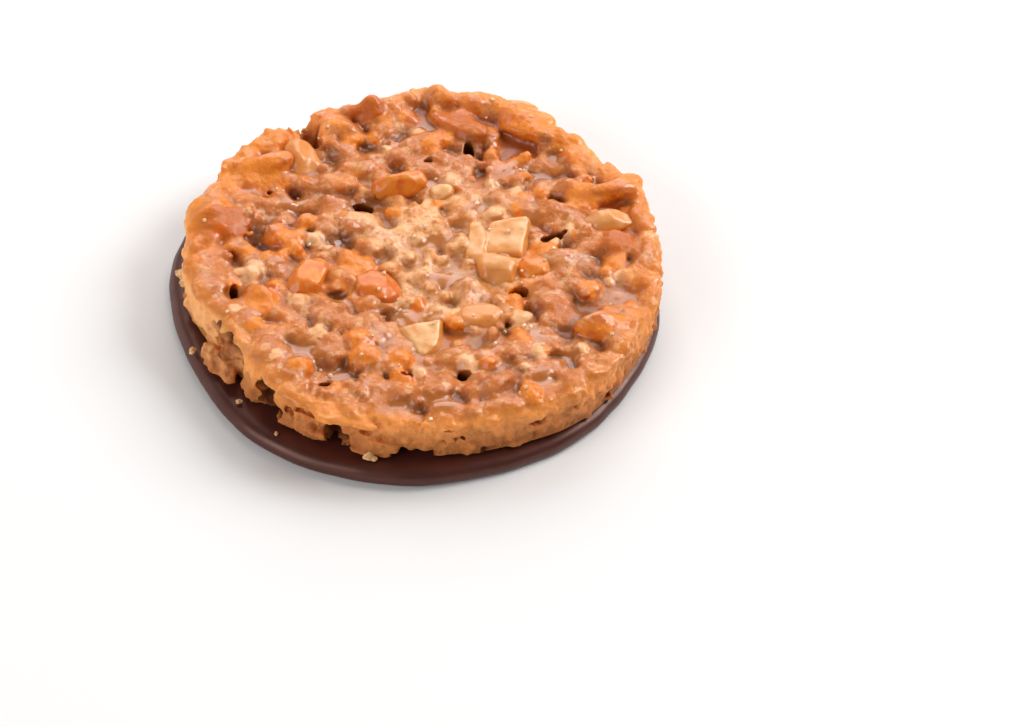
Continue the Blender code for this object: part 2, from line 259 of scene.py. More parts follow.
# The larger pieces that stand out of the top.
nutPieces = {
    "splitHalf": nut("pale", (9.5, 3.6), (7.6, 7.6, 4.8), 0.55, 0, (6, -3),
                     [(-90, 84, 0.5), (180, 6, 0.66), (105, 8, 0.74), (-8, 10, 0.62), (-95, 14, 0.74)]),
    "splitHalfSide": nut("pale", (5.7, 2.5), (3.0, 7.4, 4.6), 0.4, -3, (4, 5),
                         [(-90, 84, 0.6), (0, 5, 0.72), (180, 8, 0.8), (95, 8, 0.84), (-90, 20, 0.84)],
                         soaked=0.25),
    "splitHalfLower": nut("pale", (8.9, -1.5), (7.0, 4.8, 4.4), 0.1, -8, (-6, 4),
                          [(-90, 30, 0.9)], soaked=0.45),
    "wedge": nut("pale", (0.3, -13.7), (8.0, 8.2, 4.8), 0.45, 0, (6, -2),
                 [(-90, 84, 0.46), (106, 12, 0.54), (-3, 14, 0.5), (-42, 16, 0.56), (-148, 30, 0.56)]),
    "notchHalf": nut("pale", (-15.9, 15.0), (5.2, 7.0, 4.0), -0.25, 20, (18, 10),
                     [(30, 50, 0.85)], soaked=1.0),
    "rightPale": nut("pale", (21.4, 7.3), (6.2, 3.6, 3.2), 0.45, 12, (4, -8), [(0, 40, 0.8)], soaked=0.5),
    "frontInner": nut("dough", (5.4, -6.0), (3.4, 4.2, 2.8), 0.1, 0),
    "innerMiddle": nut("pale", (1.2, 10.5), (3.0, 3.2, 2.4), 0.25, 0),
    "sliver": nut("amber", (-4.2, 11.1), (6.9, 3.2, 3.8), 0.75, 14, (-10, -12),
                  [(90, 60, 0.85), (180, 10, 0.9), (-90, 20, 0.85)]),
    "besideSplit": nut("amber", (13.0, -1.3), (4.4, 4.4, 3.4), 0.3, 30, (8, 4),
                       [(80, 62, 0.78), (-120, 30, 0.85)]),
    "leftWedge": nut("amber", (-13.9, -5.4), (5.0, 7.2, 4.4), 0.45, -22, (20, 10),
                     [(100, 62, 0.66), (10, 15, 0.78), (185, 20, 0.8)]),
    "leftMiddle": nut("melted", (-8.6, -2.6), (4.8, 4.2, 3.2), 0.05, 10, (10, 0), [(90, 70, 0.72)]),
    "redRound": nut("red", (-5.4, -6.3), (6.4, 5.6, 3.8), 0.2, -20, (8, 6), [(150, 60, 0.85)]),
    "frontOval": nut("pale", (6.5, -9.7), (5.6, 4.0, 2.8), 0.3, 4, (8, 0), [(90, 76, 0.66)], soaked=0.9),
    "rightEnd": nut("melted", (18.2, 10.9), (4.6, 4.0, 3.6), 0.45, -20, (0, 8)),
    "rightRidge": nut("melted", (22.3, 12.4), (7.6, 3.4, 3.2), 0.8, 20, (10, 0), [(90, 60, 0.8)]),
    "rightLump": nut("meltedRed", (22.8, 3.6), (4.8, 3.6, 3.2), 0.4, 18, (0, -8)),
    "lowerRight": nut("melted", (20.7, -11.0), (8.4, 4.6, 3.8), 0.6, 32, (14, 4),
                      [(95, 62, 0.75), (-60, 20, 0.85)]),
    "leftRound": nut("melted", (-16.7, 1.2), (4.2, 4.4, 3.4), 0.3, 0, (6, 0), [(100, 66, 0.8)]),
    "leftRim": nut("meltedRed", (-24.2, 2.6), (5.8, 4.4, 3.6), 0.6, 12, (12, 6),
                   [(90, 62, 0.72), (-60, 25, 0.8)]),
    "upperLeft": nut("melted", (-20.8, 12.2), (7.4, 5.2, 3.6), 0.4, 38, (6, -4)),
    "frontLeft": nut("melted", (-18.9, -9.9), (4.4, 4.2, 3.2), 0.35, -25, (12, 8),
                     [(60, 66, 0.72), (180, 20, 0.7)]),
    "backLeftPeak": nut("meltedRed", (-8.6, 24.0), (5.4, 3.8, 4.0), 0.8, 8, (0, -8), [(180, 50, 0.85)]),
    "backMiddle": nut("meltedRed", (3.6, 22.6), (6.6, 4.6, 3.6), 0.2, -12, (24, 6)),
    "backRight": nut("melted", (10.6, 22.8), (8.6, 4.8, 3.6), 0.6, -26, (12, -6)),
    "rightInner": nut("dough", (15.4, -8.2), (6.4, 5.8, 4.2), 0.3, 15, (4, 10)),
    "frontRight": nut("dough", (9.6, -21.0), (6.8, 4.6, 3.2), 0.25, 28, (0, 6)),
}

# Lumps set out at this angle from one to the next never line up.
goldenAngle = 137.508
doughLumps = {
    "seed": 21,
    "count": 280,
    "reach": 26.6,
    "jitter": 0.9,
    "sizes": (0.9, 2.5),
    "stretch": (1.0, 1.6),
    "flat": (0.5, 0.8),
    "level": (-0.75, 0.2),
    "rimCount": 78,
    "rimSize": (0.95, 1.9),
    "rimHeight": 9.0,
    "rimScatter": 0.75,
    "clear": 0.8,
    "voxel": 0.285,
    "holeVoxel": 0.22,
    "smallCount": 260,
    "smallSizes": (0.35, 0.7),
    "kernelCount": 300,
    "kernelSizes": (0.65, 1.5),
    "kernelLift": (-0.1, 0.5),
    "meltTimes": 11,
    "melt": 0.5,
}
# Places where clear amber caramel shows instead of dough: x, y, how far it spreads, how strong it is.
amberSpots = [
    (-21.0, 12.6, 5.0, 1.0), (-24.6, 8.0, 3.0, 0.8), (-18.0, 18.4, 3.4, 0.7), (-8.6, 25.6, 5.0, 0.9),
    (2.6, 26.0, 4.5, 0.7), (11.0, 24.4, 5.5, 1.0), (18.4, 20.4, 4.6, 0.9), (-25.6, 2.2, 3.4, 0.8),
    (-26.6, -3.0, 2.4, 0.5), (20.6, 12.6, 4.0, 0.7), (23.4, 6.4, 4.0, 0.6), (22.6, -9.6, 3.4, 0.6),
    (-13.6, -6.0, 3.0, 0.6), (-6.6, -6.0, 3.6, 0.6), (12.6, -2.4, 2.2, 0.7), (-16.0, -13.0, 2.4, 0.4),
    (8.0, 18.4, 3.0, 0.5), (-4.4, 10.6, 2.6, 0.4), (-10.0, 12.0, 2.4, 0.4), (3.0, -12.6, 2.2, 0.5),
    (25.6, -3.0, 3.0, 0.5), (24.0, 13.6, 3.0, 0.7), (-26.4, 2.0, 5.4, 1.0), (-14.0, 22.6, 4.0, 0.8),
]
# Places where the caramel has baked to a deep red: x, y, how far it spreads, how strong it is.
redSpots = [
    (22.8, 3.6, 3.2, 0.9), (24.8, 8.0, 2.4, 0.5), (3.4, 22.8, 3.6, 0.8), (-1.8, 23.8, 2.4, 0.5),
    (-26.4, 1.2, 3.4, 0.8), (-24.2, -2.6, 2.0, 0.4), (16.4, -7.4, 2.6, 0.4),
]
# The paler middle of the top, partly painted sheen. stretch is how much shorter it is to the sides, to the
# back and to the front.
middlePatch = {"place": (2.0, 1.0), "inner": 5.0, "outer": 17.0, "stretch": (1.15, 1.1, 0.72)}
# onWall is how high the fine, the broad and the grain relief stand on the wall.
grit = {"grain": 0.16, "grainSize": 1.1, "fine": 0.09, "fineSize": 0.5, "broadSize": 1.7, "pitSize": 0.85,
        "pitDepth": 0.9, "pitStart": 0.28, "onWall": (0.14, 0.14, 0.16)}
# Pools of clear caramel between the lumps: x, y, half length, half width, turn.
pools = [
    (-7.7, 16.9, 1.4, 0.9, 20), (-11.5, 14.3, 1.5, 1.0, 0), (-16.4, 7.2, 1.9, 1.2, 40),
    (-18.9, 1.2, 1.3, 1.0, 0), (-24.7, 0.4, 1.0, 0.7, 60), (5.6, 8.1, 1.5, 1.0, 10),
    (11.4, 7.2, 2.1, 1.2, 10), (1.3, 2.4, 2.6, 0.9, 20), (2.5, -3.8, 2.4, 1.6, 15),
    (-1.9, -10.5, 2.0, 1.8, 50), (12.5, -6.2, 1.2, 0.9, 0), (13.4, -12.6, 1.5, 0.8, -50),
    (-13.2, -17.6, 2.8, 1.7, -30), (-9.0, -20.8, 2.0, 1.4, 10), (-2.2, -25.0, 1.2, 0.7, 0),
    (2.9, -24.5, 1.8, 1.5, 20), (23.9, 10.8, 1.2, 0.8, 30), (22.8, -5.1, 1.3, 1.0, 10),
    (25.4, -4.4, 0.8, 0.9, 0), (14.1, -19.6, 1.5, 1.2, 35), (16.8, -16.4, 2.0, 1.3, 30),
    (-0.7, 22.7, 1.9, 1.5, 15), (3.4, 24.3, 0.9, 0.6, 0), (7.7, 19.9, 0.9, 0.9, 0),
    (9.6, 15.4, 1.9, 1.1, 20), (13.2, 14.8, 1.6, 1.0, -10), (15.2, 18.0, 1.6, 1.0, -30),
    (8.4, 23.2, 1.4, 0.7, -20), (0.2, 12.3, 1.5, 1.0, 20), (-22.0, 8.6, 1.4, 1.0, 50),
    (-14.6, 22.4, 1.2, 0.8, 30), (-4.0, -14.6, 1.1, 0.8, 0), (-17.8, -8.2, 1.2, 0.8, -30),
    (19.8, -10.6, 0.9, 1.6, 40), (-9.6, -9.0, 1.4, 0.8, 0), (8.2, -14.6, 1.2, 0.9, 0),
]
# Lumps at the places where they show best: x, y, level above the top, half length, half width, turn.
placedLumps = [
    (-12.4, 11.6, 0.25, 2.2, 1.4, 20), (-9.6, 14.4, 0.3, 2.6, 1.6, 25), (-6.4, 16.4, 0.2, 2.2, 1.3, 10),
    (-1.6, 14.6, 0.25, 2.4, 1.5, 40), (3.0, 15.2, 0.2, 2.2, 1.5, -20), (8.4, 15.0, 0.25, 2.8, 1.5, 55),
    (13.4, 12.4, 0.3, 2.6, 1.7, 30), (14.0, 8.4, 0.3, 3.0, 1.8, 20), (11.0, 9.0, 0.1, 2.4, 1.6, 0),
    (4.2, 8.0, 0.15, 3.0, 2.2, 10), (-0.4, 5.4, 0.2, 3.6, 2.6, 25), (-5.0, 2.0, 0.1, 3.4, 2.4, 20),
    (-11.2, 4.8, 0.3, 2.6, 1.6, -15), (-14.4, 7.6, 0.25, 2.6, 1.5, 10), (-18.6, 6.8, 0.2, 2.4, 1.5, 20),
    (-20.4, -2.6, 0.15, 2.2, 1.8, 60), (-17.6, -3.6, 0.2, 1.9, 1.7, 0), (-24.6, -4.6, 0.3, 2.0, 1.8, 80),
    (-11.0, -11.6, 0.3, 3.4, 1.8, -25), (-7.0, -12.8, 0.35, 3.2, 1.7, -20),
    (-14.6, -14.0, 0.35, 2.8, 2.0, -30), (-10.6, -17.6, 0.3, 2.4, 1.9, 30),
    (-5.6, -18.2, 0.3, 2.2, 1.8, 0), (-4.6, -22.4, 0.35, 2.4, 1.5, -10), (1.6, -22.6, 0.35, 2.6, 1.7, 15),
    (5.2, -17.0, 0.2, 2.4, 1.7, 0), (10.6, -15.2, 0.25, 3.0, 2.0, 20), (14.6, -12.6, 0.25, 2.6, 1.8, -30),
    (13.6, -18.4, 0.35, 3.2, 1.8, 40), (18.4, -14.6, 0.3, 2.2, 1.7, 35), (2.2, -9.2, 0.2, 2.4, 1.9, 0),
    (0.6, -3.4, 0.2, 2.8, 2.0, 10), (4.0, 1.8, 0.1, 2.2, 2.4, 0), (14.4, -4.2, 0.2, 2.2, 1.6, 10),
    (19.2, -0.6, 0.25, 2.2, 1.7, 20), (24.2, -1.6, 0.4, 2.0, 1.7, 80), (-1.8, 19.6, 0.3, 2.4, 1.6, 20),
    (-13.4, 20.0, 0.45, 2.8, 1.7, 35), (16.8, 18.2, 0.5, 2.8, 1.8, -45), (16.2, 0.6, 0.75, 3.4, 1.7, 22),
    (20.0, 3.2, 0.6, 2.6, 1.4, 30), (13.6, -3.4, 0.45, 2.6, 1.5, 5),
]
# Pits in the top: x, y, length, width, depth, turn.
topPits = [
    (4.4, 18.4, 1.8, 3.2, 5.6, 10), (-8.0, 7.4, 2.9, 2.4, 5.0, 20), (15.2, 4.7, 5.6, 1.3, 2.6, 18),
    (-22.4, -8.2, 1.3, 2.2, 2.8, 10), (5.0, -19.3, 1.9, 1.4, 2.6, 0), (-1.5, -20.4, 2.3, 1.3, 2.4, 15),
    (10.9, -4.9, 2.6, 1.4, 2.4, 0), (-10.5, -22.3, 1.9, 1.6, 3.4, -15), (-0.5, 15.9, 1.2, 1.1, 2.4, 0),
    (-19.4, 8.9, 1.3, 0.9, 1.8, 0), (12.4, -22.4, 1.5, 0.9, 2.0, 30),
]
# Holes torn into the wall: azimuth, height, width, tall, depth, slant.
wallHoles = [
    (-149.6, 6.7, 3.2, 2.3, 2.2, 0), (-145.0, 6.2, 3.6, 2.9, 2.9, 0), (-140.4, 5.9, 3.0, 3.2, 2.9, 0),
    (-128.4, 6.0, 3.0, 3.3, 3.4, 0), (-126.6, 4.0, 3.3, 3.8, 3.6, 0), (-109.6, 4.0, 1.7, 2.4, 3.0, 0),
    (-107.6, 3.4, 2.4, 1.7, 3.0, 0), (-93.0, 3.0, 2.8, 1.4, 2.6, 0), (-88.0, 3.0, 3.2, 1.3, 2.4, 0),
    (-114.6, 6.2, 3.6, 1.0, 1.0, 0), (-120.6, 5.0, 1.6, 1.2, 1.1, 0), (-72.0, 3.2, 2.6, 0.9, 1.6, 0),
    (-102.0, 5.4, 1.2, 0.8, 1.0, 0), (-60.5, 5.6, 2.7, 0.9, 1.7, 14), (-82.0, 7.0, 1.7, 0.7, 1.0, 0),
    (-80.6, 5.2, 0.8, 0.8, 1.0, 0), (-83.4, 5.0, 0.6, 0.9, 0.9, 0), (-78.6, 5.6, 0.5, 0.7, 0.8, 0),
    (-16.0, 4.4, 2.4, 1.4, 2.0, 0), (21.0, 3.8, 3.0, 1.6, 2.2, 0), (63.0, 5.6, 2.2, 1.4, 1.8, 20),
    (97.0, 3.6, 3.4, 1.7, 2.4, 0), (127.6, 8.6, 3.8, 6.8, 3.5, 0), (162.0, 3.8, 2.6, 1.6, 2.2, -10),
    (-38.0, 3.4, 1.6, 0.9, 1.4, 0),
]
# The crumbling flake and the crusts that hang over the ledge: azimuth, radius, height, and the half sizes
# inward, along the rim and up.
flakes = [
    (-149.6, 28.6, 3.7, 0.8, 1.0, 0.8), (-147.2, 28.9, 3.1, 0.9, 1.2, 0.6),
    (-144.6, 28.6, 3.1, 0.9, 1.3, 0.5), (-142.0, 28.0, 3.4, 0.9, 1.2, 0.8),
    (-147.6, 28.2, 4.0, 0.6, 0.9, 0.5), (-136.2, 27.2, 4.0, 0.9, 0.9, 1.3),
    (-134.2, 27.3, 5.8, 1.0, 1.5, 2.2), (-133.2, 27.6, 3.7, 1.0, 1.3, 1.2),
    (-121.4, 28.2, 3.4, 0.9, 1.4, 0.6), (-117.6, 28.4, 4.2, 1.0, 2.2, 1.2),
    (-113.4, 28.4, 3.5, 1.0, 1.8, 0.8), (-101.6, 28.2, 3.4, 0.9, 2.2, 0.65),
    (-98.0, 28.0, 3.9, 0.9, 1.9, 1.0), (-119.0, 28.4, 7.9, 1.3, 2.4, 0.5),
    (-112.0, 28.6, 7.6, 1.4, 2.6, 0.45), (-105.0, 28.3, 7.4, 1.2, 2.4, 0.5),
]


def nutLevel(piece):
    x, y = piece["place"]
    return topLevel(x, y) + piece["lift"]


def ovalReach(dx, dy, long, wide, turn):
    # how far out a place lies in a turned oval: 1 on its edge
    angle = math.radians(turn)
    along, across = dx * math.cos(angle) + dy * math.sin(angle), dy * math.cos(angle) - dx * math.sin(angle)
    return np.hypot(along / long, across / wide)


def inPool(x, y, share):
    return any(ovalReach(x - atX, y - atY, *shape) < share for atX, atY, *shape in pools)


def nearNut(x, y, share):
    for piece in nutPieces.values():
        atX, atY = piece["place"]
        if math.hypot(x - atX, y - atY) < share * max(piece["size"][:2]) / 2:
            return True
    return False


# below is how far the core reaches under the biscuit's foot until it is cut flat. edge is where its top
# starts to climb to the rim and where it is up, as a share of the radius.
core = {"segments": 110, "below": 0.8, "inset": 0.45, "edge": (0.9, 0.985), "rimDrop": 1.1}


def addCore(bm):
    # a square grid bent into a disc whose top is the level of the caramel, pulled down into a solid
    segments = core["segments"]
    made = bmesh.ops.create_grid(bm, x_segments=segments, y_segments=segments, size=1.0)["verts"]
    foot = biscuitFoot - core["below"]
    for vert in made:
        u, v = vert.co.x, vert.co.y
        x, y = u * math.sqrt(1 - v * v / 2), v * math.sqrt(1 - u * u / 2)
        reach = math.hypot(x, y)
        azimuth = azimuthOf(x, y)
        radius = rimRadius(azimuth) - core["inset"]
        x, y = x * radius, y * radius
        edge = smoothStep(*core["edge"], reach)
        rim = doughLumps["rimHeight"] - core["rimDrop"] + swell(azimuth, outline["rises"])
        level = poolLevel(x, y) * (1 - edge) + rim * edge
        vert.co = (x, y, level)
    made = bmesh.ops.extrude_face_region(bm, geom=bm.faces[:])["geom"]
    for vert in made:
        if isinstance(vert, bmesh.types.BMVert):
            vert.co.z = foot
    bmesh.ops.recalc_face_normals(bm, faces=bm.faces)


# sizes are those of the lumps inward, along the wall and up.
wallSkin = {"lumps": 150, "heights": (3.0, 7.4), "sizes": [(0.5, 0.8), (1.2, 2.6), (0.7, 1.5)], "sunk": 0.35,
            "crumbs": 420, "crumbSizes": (0.3, 0.62), "crumbHeights": (2.6, 8.2), "crumbsSunk": (0.25, 0.6)}


def addWallSkin(lumps, draw):
    # overlapping flat lumps that make the wall bulge and dip, and crumbs baked into it
    for i in range(wallSkin["lumps"]):
        azimuth = 360 * i / wallSkin["lumps"] + draw.uniform(-2, 2)
        height = draw.uniform(*wallSkin["heights"])
        size = [draw.uniform(*span) for span in wallSkin["sizes"]]
        reach = rimRadius(azimuth) - size[0] - draw.uniform(0.0, wallSkin["sunk"])
        addLump(lumps, around(azimuth, reach, height), size, azimuth, rough=0.3, seed=i)
    for i in range(wallSkin["crumbs"]):
        azimuth, size = draw.uniform(-180, 180), draw.uniform(*wallSkin["crumbSizes"])
        reach = rimRadius(azimuth) - draw.uniform(*wallSkin["crumbsSunk"])
        middle = around(azimuth, reach, draw.uniform(*wallSkin["crumbHeights"]))
        shape = (size, size * draw.uniform(0.8, 1.5), size)
        addLump(lumps, middle, shape, azimuth, rough=0.3, seed=i * 1.3, detail=2)


def doughKind(draw, x, y):
    # most of the bits are coated in dough, some are soaked in caramel and some are bare pale nut
    pick = draw.random()
    atX, atY = middlePatch["place"]
    inner = float(smoothStep(16, 8, math.hypot(x - atX, y - atY)))
    if pick < 0.24 - 0.19 * inner:
        return "amber"
    if pick < 0.38:
        return "pale"
    return "dough"


def scatter(draw, count, start, swing, jitter):
    # evenly spread places over the top, each a little off
    for i in range(count):
        radius = doughLumps["reach"] * math.sqrt((i + 0.5) / count)
        spot = around(i * goldenAngle + start + draw.uniform(-swing, swing), radius)
        yield i, spot.x + draw.uniform(-1, 1) * jitter, spot.y + draw.uniform(-1, 1) * jitter


def mostlySmall(draw, sizes, power):
    return sizes[0] + (sizes[1] - sizes[0]) * draw.random() ** power


def addTopLumps(lumps, draw, marks):
    for i, x, y in scatter(draw, doughLumps["count"], 0, 4, doughLumps["jitter"]):
        size = mostlySmall(draw, doughLumps["sizes"], 1.6)
        long = draw.uniform(*doughLumps["stretch"])
        flat = draw.uniform(*doughLumps["flat"])
        level = topLevel(x, y) + draw.uniform(*doughLumps["level"])
        turn, tilt = draw.uniform(0, 180), draw.uniform(-18, 18)
        if nearNut(x, y, doughLumps["clear"]) or inPool(x, y, 1.15):
            continue
        shape = (size * long, size / math.sqrt(long), size * flat)
        middle = Vector((x, y, level - shape[2] * 0.8))
        place = addLump(lumps, middle, shape, turn, tilt, rough=0.15, seed=i * 3.7)
        marks.append((place, "dough", draw.random()))
    for i, (x, y, lift, long, wide, turn) in enumerate(placedLumps):
        high = 0.75 * wide
        middle = Vector((x, y, topLevel(x, y) + lift - high * 0.85))
        place = addLump(lumps, middle, (long, wide, high), turn, rough=0.24, seed=i * 5.3)
        marks.append((place, "dough", draw.random()))


def addKernels(lumps, draw, marks):
    # round bits of chopped nut that stand half out of the caramel
    for i, x, y in scatter(draw, doughLumps["kernelCount"], 61, 3, 0.6):
        size = mostlySmall(draw, doughLumps["kernelSizes"], 1.3)
        shape = (size * draw.uniform(1, 1.45), size, size * draw.uniform(0.75, 0.95))
        lift = draw.uniform(*doughLumps["kernelLift"])
        turn, tilt = draw.uniform(0, 180), draw.uniform(-25, 25)
        kind, tint = doughKind(draw, x, y), draw.random()
        if nearNut(x, y, 0.95) or inPool(x, y, 1.2):
            continue
        middle = Vector((x, y, topLevel(x, y) + lift - size * 0.5))
        place = addLump(lumps, middle, shape, turn, tilt, rough=0.12, seed=i * 2.3)
        marks.append((place, kind, tint))


def addSmallLumps(lumps, draw, marks):
    # crumbs of dough and chopped nut between and on the larger lumps
    for i in range(doughLumps["smallCount"]):
        spot = around(draw.uniform(0, 360), doughLumps["reach"] * math.sqrt(draw.random()))
        size = draw.uniform(*doughLumps["smallSizes"])
        kind, tint, lift = doughKind(draw, spot.x, spot.y), draw.random(), draw.uniform(-0.5, 0.25)
        if nearNut(spot.x, spot.y, 1.05) or inPool(spot.x, spot.y, 1.3):
            continue
        middle = Vector((spot.x, spot.y, topLevel(spot.x, spot.y) + lift))
        shape = (size * draw.uniform(1, 1.6), size, size * 0.8)
        place = addLump(lumps, middle, shape, draw.uniform(0, 180), rough=0.3, seed=i * 1.9)
        marks.append((place, kind, tint))


poolLens = {"drop": 0.3, "height": 0.75, "spread": 1.15}


def addPools(lumps):
    # each pool is a shallow lens whose top lies a little below the lumps round it
    for x, y, long, wide, turn in pools:
        high, spread = poolLens["height"], poolLens["spread"]
        middle = Vector((x, y, topLevel(x, y) - poolLens["drop"] - high))
        addLump(lumps, middle, (long * spread, wide * spread, high), turn, rough=0.12, seed=x)


def addRim(lumps, draw, marks):
    count = doughLumps["rimCount"]
    for i in range(count):
        azimuth = 360 * (i + draw.uniform(-0.35, 0.35)) / count
        size = draw.uniform(*doughLumps["rimSize"])
        reach = size * draw.uniform(1, 1.5)
        drop = draw.random() * doughLumps["rimScatter"]
        topOf = doughLumps["rimHeight"] + swell(azimuth, outline["rises"]) - drop
        middle = around(azimuth, rimRadius(azimuth) - reach - 0.05, topOf - size * 0.85)
        shape = (reach, size * draw.uniform(1, 1.8), size * 0.9)
        place = addLump(lumps, middle, shape, azimuth + draw.uniform(-20, 20), rough=0.24, seed=i * 2.9)
        marks.append((place, "dough", draw.random()))


def addMeltedNuts(lumps, marks):
    # nuts that have melted into the caramel: they keep their shape but share its skin
    for i, piece in enumerate(nutPieces.values()):
        if piece["kind"] not in meltedKinds:
            continue
        x, y = piece["place"]
        long, wide, high = piece["size"]
        middle = Vector((x, y, nutLevel(piece) - high * 0.3))
        shape, tilt = (long * 0.52, wide * 0.52, high * 0.5), piece["lean"][1]
        place = addLump(lumps, middle, shape, piece["turn"], tilt, rough=0.4, seed=i * 3.3, detail=4)
        marks.append((place, piece["kind"], 0.5))


skirt = {"lumps": 9, "reach": 0.48, "drop": 0.35, "sizes": (0.6, 1.1)}


def addSkirts(lumps, draw):
    # dough that climbs a little way up each piece of nut and holds it
    for piece in nutPieces.values():
        if piece["kind"] in meltedKinds:
            continue
        x, y = piece["place"]
        long, wide, high = piece["size"]
        level = topLevel(x, y) - skirt["drop"]
        turn = math.radians(piece["turn"])
        for k in range(skirt["lumps"]):
            angle = 2 * math.pi * (k + draw.uniform(-0.3, 0.3)) / skirt["lumps"]
            dx, dy = math.cos(angle) * long * skirt["reach"], math.sin(angle) * wide * skirt["reach"]
            spot = Vector((x + dx * math.cos(turn) - dy * math.sin(turn),
                           y + dx * math.sin(turn) + dy * math.cos(turn), 0))
            size = draw.uniform(*skirt["sizes"])
            spot.z = level + draw.uniform(-0.35, 0.15) - size * 0.5
            addLump(lumps, spot, (size * 1.2, size, size * 0.8), math.degrees(angle), rough=0.24, seed=k + x)
        # a sunk copy of the nut, so that the melted caramel climbs up to it
        middle = Vector((x, y, nutLevel(piece) - high * 0.62))
        addLump(lumps, middle, (long * 0.45, wide * 0.45, high * 0.4), piece["turn"], seed=x)


def cutOff(bm, place, facing, **side):
    # a knife cut, closed with a flat face
    whole = bm.verts[:] + bm.edges[:] + bm.faces[:]
    cut = bmesh.ops.bisect_plane(bm, geom=whole, plane_co=place, plane_no=facing, **side)["geom_cut"]
    bmesh.ops.holes_fill(bm, edges=[part for part in cut if isinstance(part, bmesh.types.BMEdge)])


def cutterObject():
    lumps = []
    for i, (x, y, long, wide, deep, turn) in enumerate(topPits):
        middle = Vector((x, y, topLevel(x, y) - 0.25 * deep))
        addLump(lumps, middle, (long / 2, wide / 2, deep * 0.62), turn, rough=0.3, seed=i * 7.1)
    for i, (azimuth, height, wide, tall, deep, slant) in enumerate(wallHoles):
        middle = around(azimuth, rimRadius(azimuth), height)
        shape = (deep, wide / 2, tall / 2)
        addLump(lumps, middle, shape, azimuth, slant * 0.2, rough=0.42, seed=i * 4.3, detail=4)
    bm = bmesh.new()
    gatherLumps(bm, lumps)
    return newObject("cutter", bm)


def hollowOut(obj):
    cutter = cutterObject()
    meltTogether(cutter, doughLumps["holeVoxel"])
    cut = obj.modifiers.new("cut", "BOOLEAN")
    cut.operation = "DIFFERENCE"
    cut.solver = "MANIFOLD"
    cut.object = cutter
    bakeModifiers(obj)
    bpy.data.objects.remove(cutter)
    with opened(obj) as bm:
        cutOff(bm, (0, 0, biscuitFoot), (0, 0, 1), dist=0.001, clear_inner=True)
        bmesh.ops.recalc_face_normals(bm, faces=bm.faces)


def blurGrid(grid, rounds):
    for _ in range(rounds):
        beside = [np.roll(grid, step, axis) for axis in (0, 1) for step in (1, -1)]
        grid = sum(beside, grid) / 5
    return grid


reliefGrid = {"cell": 0.5, "halfWidth": 32, "blurs": 14}


def localRelief(points, facing):
    # how far each point lies above the mean surface a few millimetres around it
    cell, halfWidth = reliefGrid["cell"], reliefGrid["halfWidth"]
    size = int(2 * halfWidth / cell)
    column = np.clip(((points[:, 0] + halfWidth) / cell).astype(int), 0, size - 1)
    row = np.clip(((points[:, 1] + halfWidth) / cell).astype(int), 0, size - 1)
    upward = (facing[:, 2] > 0.2) & (points[:, 2] > 5.0)
    total, count = np.zeros((size, size)), np.zeros((size, size))
    np.add.at(total, (row[upward], column[upward]), points[upward, 2])
    np.add.at(count, (row[upward], column[upward]), 1)
    blurs = reliefGrid["blurs"]
    level = blurGrid(total, blurs) / np.maximum(blurGrid(count, blurs), 1e-3)
    return points[:, 2] - level[row, column]


def meltCreases(obj, rounds, strength):
    # caramel runs into the creases: hollow places fill up, high places hardly move
    pairs = np.empty(len(obj.data.edges) * 2, np.int32)
    obj.data.edges.foreach_get("vertices", pairs)
    first, second = pairs[0::2], pairs[1::2]
    count = len(obj.data.vertices)
    links = np.bincount(first, minlength=count) + np.bincount(second, minlength=count)
    points = coordinates(obj)
    filled = np.zeros(count)
    loose = (points[:, 2] > biscuitFoot + 0.05) * (0.25 + 0.75 * smoothStep(0.5, 2.4, distanceToRim(points)))
    for _ in range(rounds):
        facing = normals(obj)
        mean = np.empty_like(points)
        for axis in range(3):
            total = np.bincount(first, points[second, axis], count)
            total += np.bincount(second, points[first, axis], count)
            mean[:, axis] = total / links
        step = mean - points
        inward = (step * facing).sum(1)
        upper = smoothStep(4.5, 7.0, points[:, 2])
        share = np.where(inward > 0, strength, strength * 0.3) * (0.3 + 0.7 * upper) * loose
        points = points + step * share[:, None]
        filled += inward * share
        setCoordinates(obj, points)
    return filled


# Crumbs baked onto the flake.
flakeCrumbs = {"count": 26, "sizes": (0.35, 0.7), "azimuths": (-151, -139), "reaches": (27.5, 28.9),
               "heights": (3.0, 4.2)}


def addFlakes(lumps, draw):
    for i, (azimuth, radius, height, deep, along, tall) in enumerate(flakes):
        addLump(lumps, around(azimuth, radius, height), (deep, along, tall), azimuth, rough=0.4, seed=i * 9.1)
    for i in range(flakeCrumbs["count"]):
        size = draw.uniform(*flakeCrumbs["sizes"])
        middle = around(*(draw.uniform(*flakeCrumbs[span]) for span in ("azimuths", "reaches", "heights")))
        shape = (size, size * draw.uniform(0.8, 1.4), size * 0.8)
        addLump(lumps, middle, shape, draw.uniform(0, 180), rough=0.5, seed=i * 6.7)


# What each point of the dough says to its material.
doughMarks = ("low", "steepShade", "paintedSun", "paintedGlow", "wall", "pool", "hollow", "holeShade", "middle", "amber", "red",
              "pale", "tint")


def gapTo(points, x, y):
    return np.hypot(points[:, 0] - x, points[:, 1] - y)


def distanceToRim(points):
    rim = np.array([rimRadius(azimuthOf(x, y)) for x, y in points[:, :2]])
    return rim - np.hypot(points[:, 0], points[:, 1])


